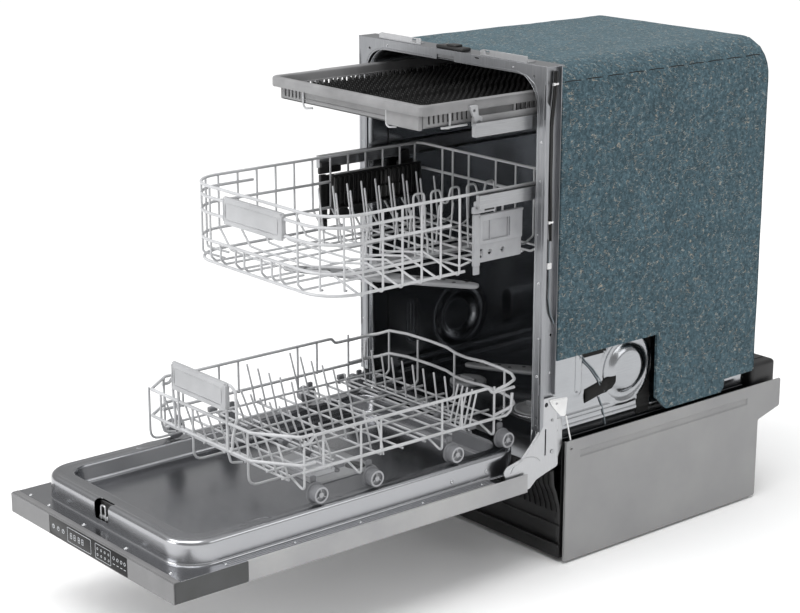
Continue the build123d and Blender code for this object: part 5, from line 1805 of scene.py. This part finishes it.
def makeFilter(p):
    x, y = p["x"], p["y"]
    outlines = [roundedOutline(x - p["half"], x + p["half"], y - p["half"], y + p["half"], 8),
                circleOutline(x, y, p["hole"], 48)]
    for i in range(13):
        for j in range(13):
            px, py = x - 45 + i * 7.5, y - 45 + j * 7.5
            if math.hypot(px - x, py - y) > p["hole"] + 4:
                outlines.append(circleOutline(px, py, 1.8, 8))
    plate = plateShape("plate", "xy", p["z"], outlines, 2.2, 0.3, 1)
    ring = latheZ("ring", (x, y, p["z"] + 1.6), [(p["hole"] + 5, 0), (p["hole"] + 5, 1),
            (p["hole"] + 3, 1.8), (p["hole"], 1.8), (p["hole"], 0)], 48)
    finishSet("filterSheet", [plate, ring], "cabinet", zincSteel, "filter_steel", ["flat_filter"])
    cup = latheZ("cup", (x, y, 151), [(30, 0), (36, 3), (37.6, 52), (38.2, 58), (38.2, 60.2), (34, 60.6),
                                      (30, 58.6), (12, 58.8), (11, 62), (0.2, 62)], 48)
    wings = [blockPiece("wing", x - 24, x + 24, y - 2.6, y + 2.6, 209, 219.6, 1.6),
             blockPiece("wingCross", x - 2.4, x + 2.4, y - 15, y + 15, 209, 216, 1.4)]
    bars = ringBlocks("bar", x, y, 36.8, 0.8, 156, 206, 24)
    finishSet("filterCylinder", [cup] + wings + bars, "filter", innerGrey, "inner_plastic",
              ["filter_cup"])
    lid = latheZ("lid", (-112, 150, 208.2), [(30, 0), (31.6, 0.6), (31.6, 4.4), (30, 5.8), (22, 6),
            (20, 4.6), (0.2, 4.6)], 40)
    grips = ringBlocks("rib", -112, 150, 31.2, 0.9, 208.6, 213.4, 20)
    handle = blockPiece("handle", -130, -94, 147, 153, 212, 218.8, 1.8)
    finishSet("softenerLidGrip", [lid, handle] + grips, "softener_lid", innerGrey, "inner_plastic",
              ["softener_cap"])


makeFilter(filterPart)


def makeDuct():
    spine = blockPiece("spine", -15.8, 15.8, 500.5, 507.8, 211, 470, 3, 4)
    port = blockPiece("port", -23.8, 23.8, 496.5, 507.5, 470.5, 544, 3.4, 4)
    ribs = [blockPiece("rib", -14, 14, 499.6, 501.2, z, z + 2.4, 0.8, 2) for z in range(240, 460, 36)]
    elbow = latheZ("post", (0, 262, 208.3), [(11.6, 0), (11.8, 1), (11.4, 6), (9.4, 7.4), (9.2, 7.8),
            (0.2, 7.8)], 32)
    pipe = blockPiece("floorPipe", -13, 13, 270, 500, 208.2, 219, 4, 4)
    finishSet("sprayDuctPipe", [spine, port, elbow, pipe] + ribs, "cabinet", innerGrey, "inner_plastic",
              ["spray_duct"])


makeDuct()

# the remaining CAD parts keep their own shape and get their finish here
nodeFinish = {"tub_floor": tubSteel, "fixed_rails": railSteel, "upper_rails_sliding": railSteel,
              "tray_rails_sliding": railSteel, "base_ballast": castIron, "foot_sockets": basePlastic,
              "sump_pot": innerGrey, "water_softener": whiteNylon, "circulation_pump": castIron,
              "drain_pump": basePlastic, "inlet_valve": whiteNylon, "power_inlet": basePlastic}
for nodeName, nodeMaterial in nodeFinish.items():
    nodes[nodeName].data.materials.clear()
    nodes[nodeName].data.materials.append(nodeMaterial)
print("small parts made")

# floor, light and camera

studio = {"floorSize": 60, "floor": "fafafa", "sunAngle": 40, "sunPower": 1.45, "keyPower": 52,
          "frontPower": 30, "fillPower": 20}


def makeStage(p):
    size = p["floorSize"] / 2
    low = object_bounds()[0].z
    mesh = bpy.data.meshes.new("studioFloor")
    mesh.from_pydata([(-size, -size, low), (size, -size, low), (size, size, low), (-size, size, low)],
                     [], [(0, 1, 2, 3)])
    floor = linkObject("studioFloor", mesh)
    paper, shader, place = startMaterial("paleFloorPaper", Roughness=0.75)
    shader.inputs["Base Color"].default_value = hexColour(p["floor"])
    shader.inputs["Specular IOR Level"].default_value = 0.2
    mesh.materials.append(paper)
    floor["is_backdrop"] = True
    world = bpy.data.worlds.new("studioWorld")
    bpy.context.scene.world = world
    world.use_nodes = True
    sky = addNode(world, "ShaderNodeTexCoord")
    split = addNode(world, "ShaderNodeSeparateXYZ", [("Vector", sky.outputs["Generated"])])
    tone = rampColours(world, split.outputs["Z"], [(0.0, grey(0.95)), (0.10, grey(0.62)),
            (0.42, grey(0.5)), (0.75, grey(1.0))])
    background = world.node_tree.nodes["Background"]
    world.node_tree.links.new(tone, background.inputs["Color"])
    background.inputs["Strength"].default_value = 0.8

    def addLight(kind, name, place, aim, power, **sizes):
        data = bpy.data.lights.new(name, kind)
        data.energy = power
        for key, value in sizes.items():
            setattr(data, key, value)
        lamp = linkObject(name, data)
        lamp.location = place
        lamp.rotation_euler = (Vector(aim) - Vector(place)).to_track_quat("-Z", "Y").to_euler()
        lamp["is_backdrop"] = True
        return lamp

    addLight("SUN", "softTop", (0.5, -1.0, 5.0), (0, 0.1, 0), p["sunPower"],
             angle=math.radians(p["sunAngle"]))
    addLight("AREA", "keyPanel", (-1.2, -2.6, 3.2), (0, 0, 0.4), p["keyPower"], shape="RECTANGLE",
             size=2.2, size_y=1.4)
    addLight("AREA", "frontPanel", (-0.9, -3.4, 1.0), (0, 0.3, 0.45), p["frontPower"], shape="RECTANGLE",
             size=1.6, size_y=1.2)
    addLight("AREA", "sidePanel", (3.4, 1.4, 2.0), (0, 0.2, 0.4), p["fillPower"], shape="RECTANGLE",
             size=2.0, size_y=1.6)


makeStage(studio)

shot = {"place": (2290.1, -2005.8, 1257.4), "azimuth": 50.206, "elevation": 15.790, "lens": 87.37}


def makeCamera(p):
    data = bpy.data.cameras.new("shotCamera")
    data.lens = p["lens"]
    data.sensor_width = 36
    data.clip_start, data.clip_end = 0.1, 100
    camera = linkObject("shotCamera", data)
    az, el = math.radians(p["azimuth"]), math.radians(p["elevation"])
    ahead = Vector((-math.sin(az) * math.cos(el), math.cos(az) * math.cos(el), -math.sin(el)))
    camera.location = at(*p["place"])
    camera.rotation_euler = ahead.to_track_quat("-Z", "Y").to_euler()
    bpy.context.scene.camera = camera


makeCamera(shot)
bpy.context.scene.view_settings.view_transform = "Standard"
bpy.context.scene.view_settings.look = "None"
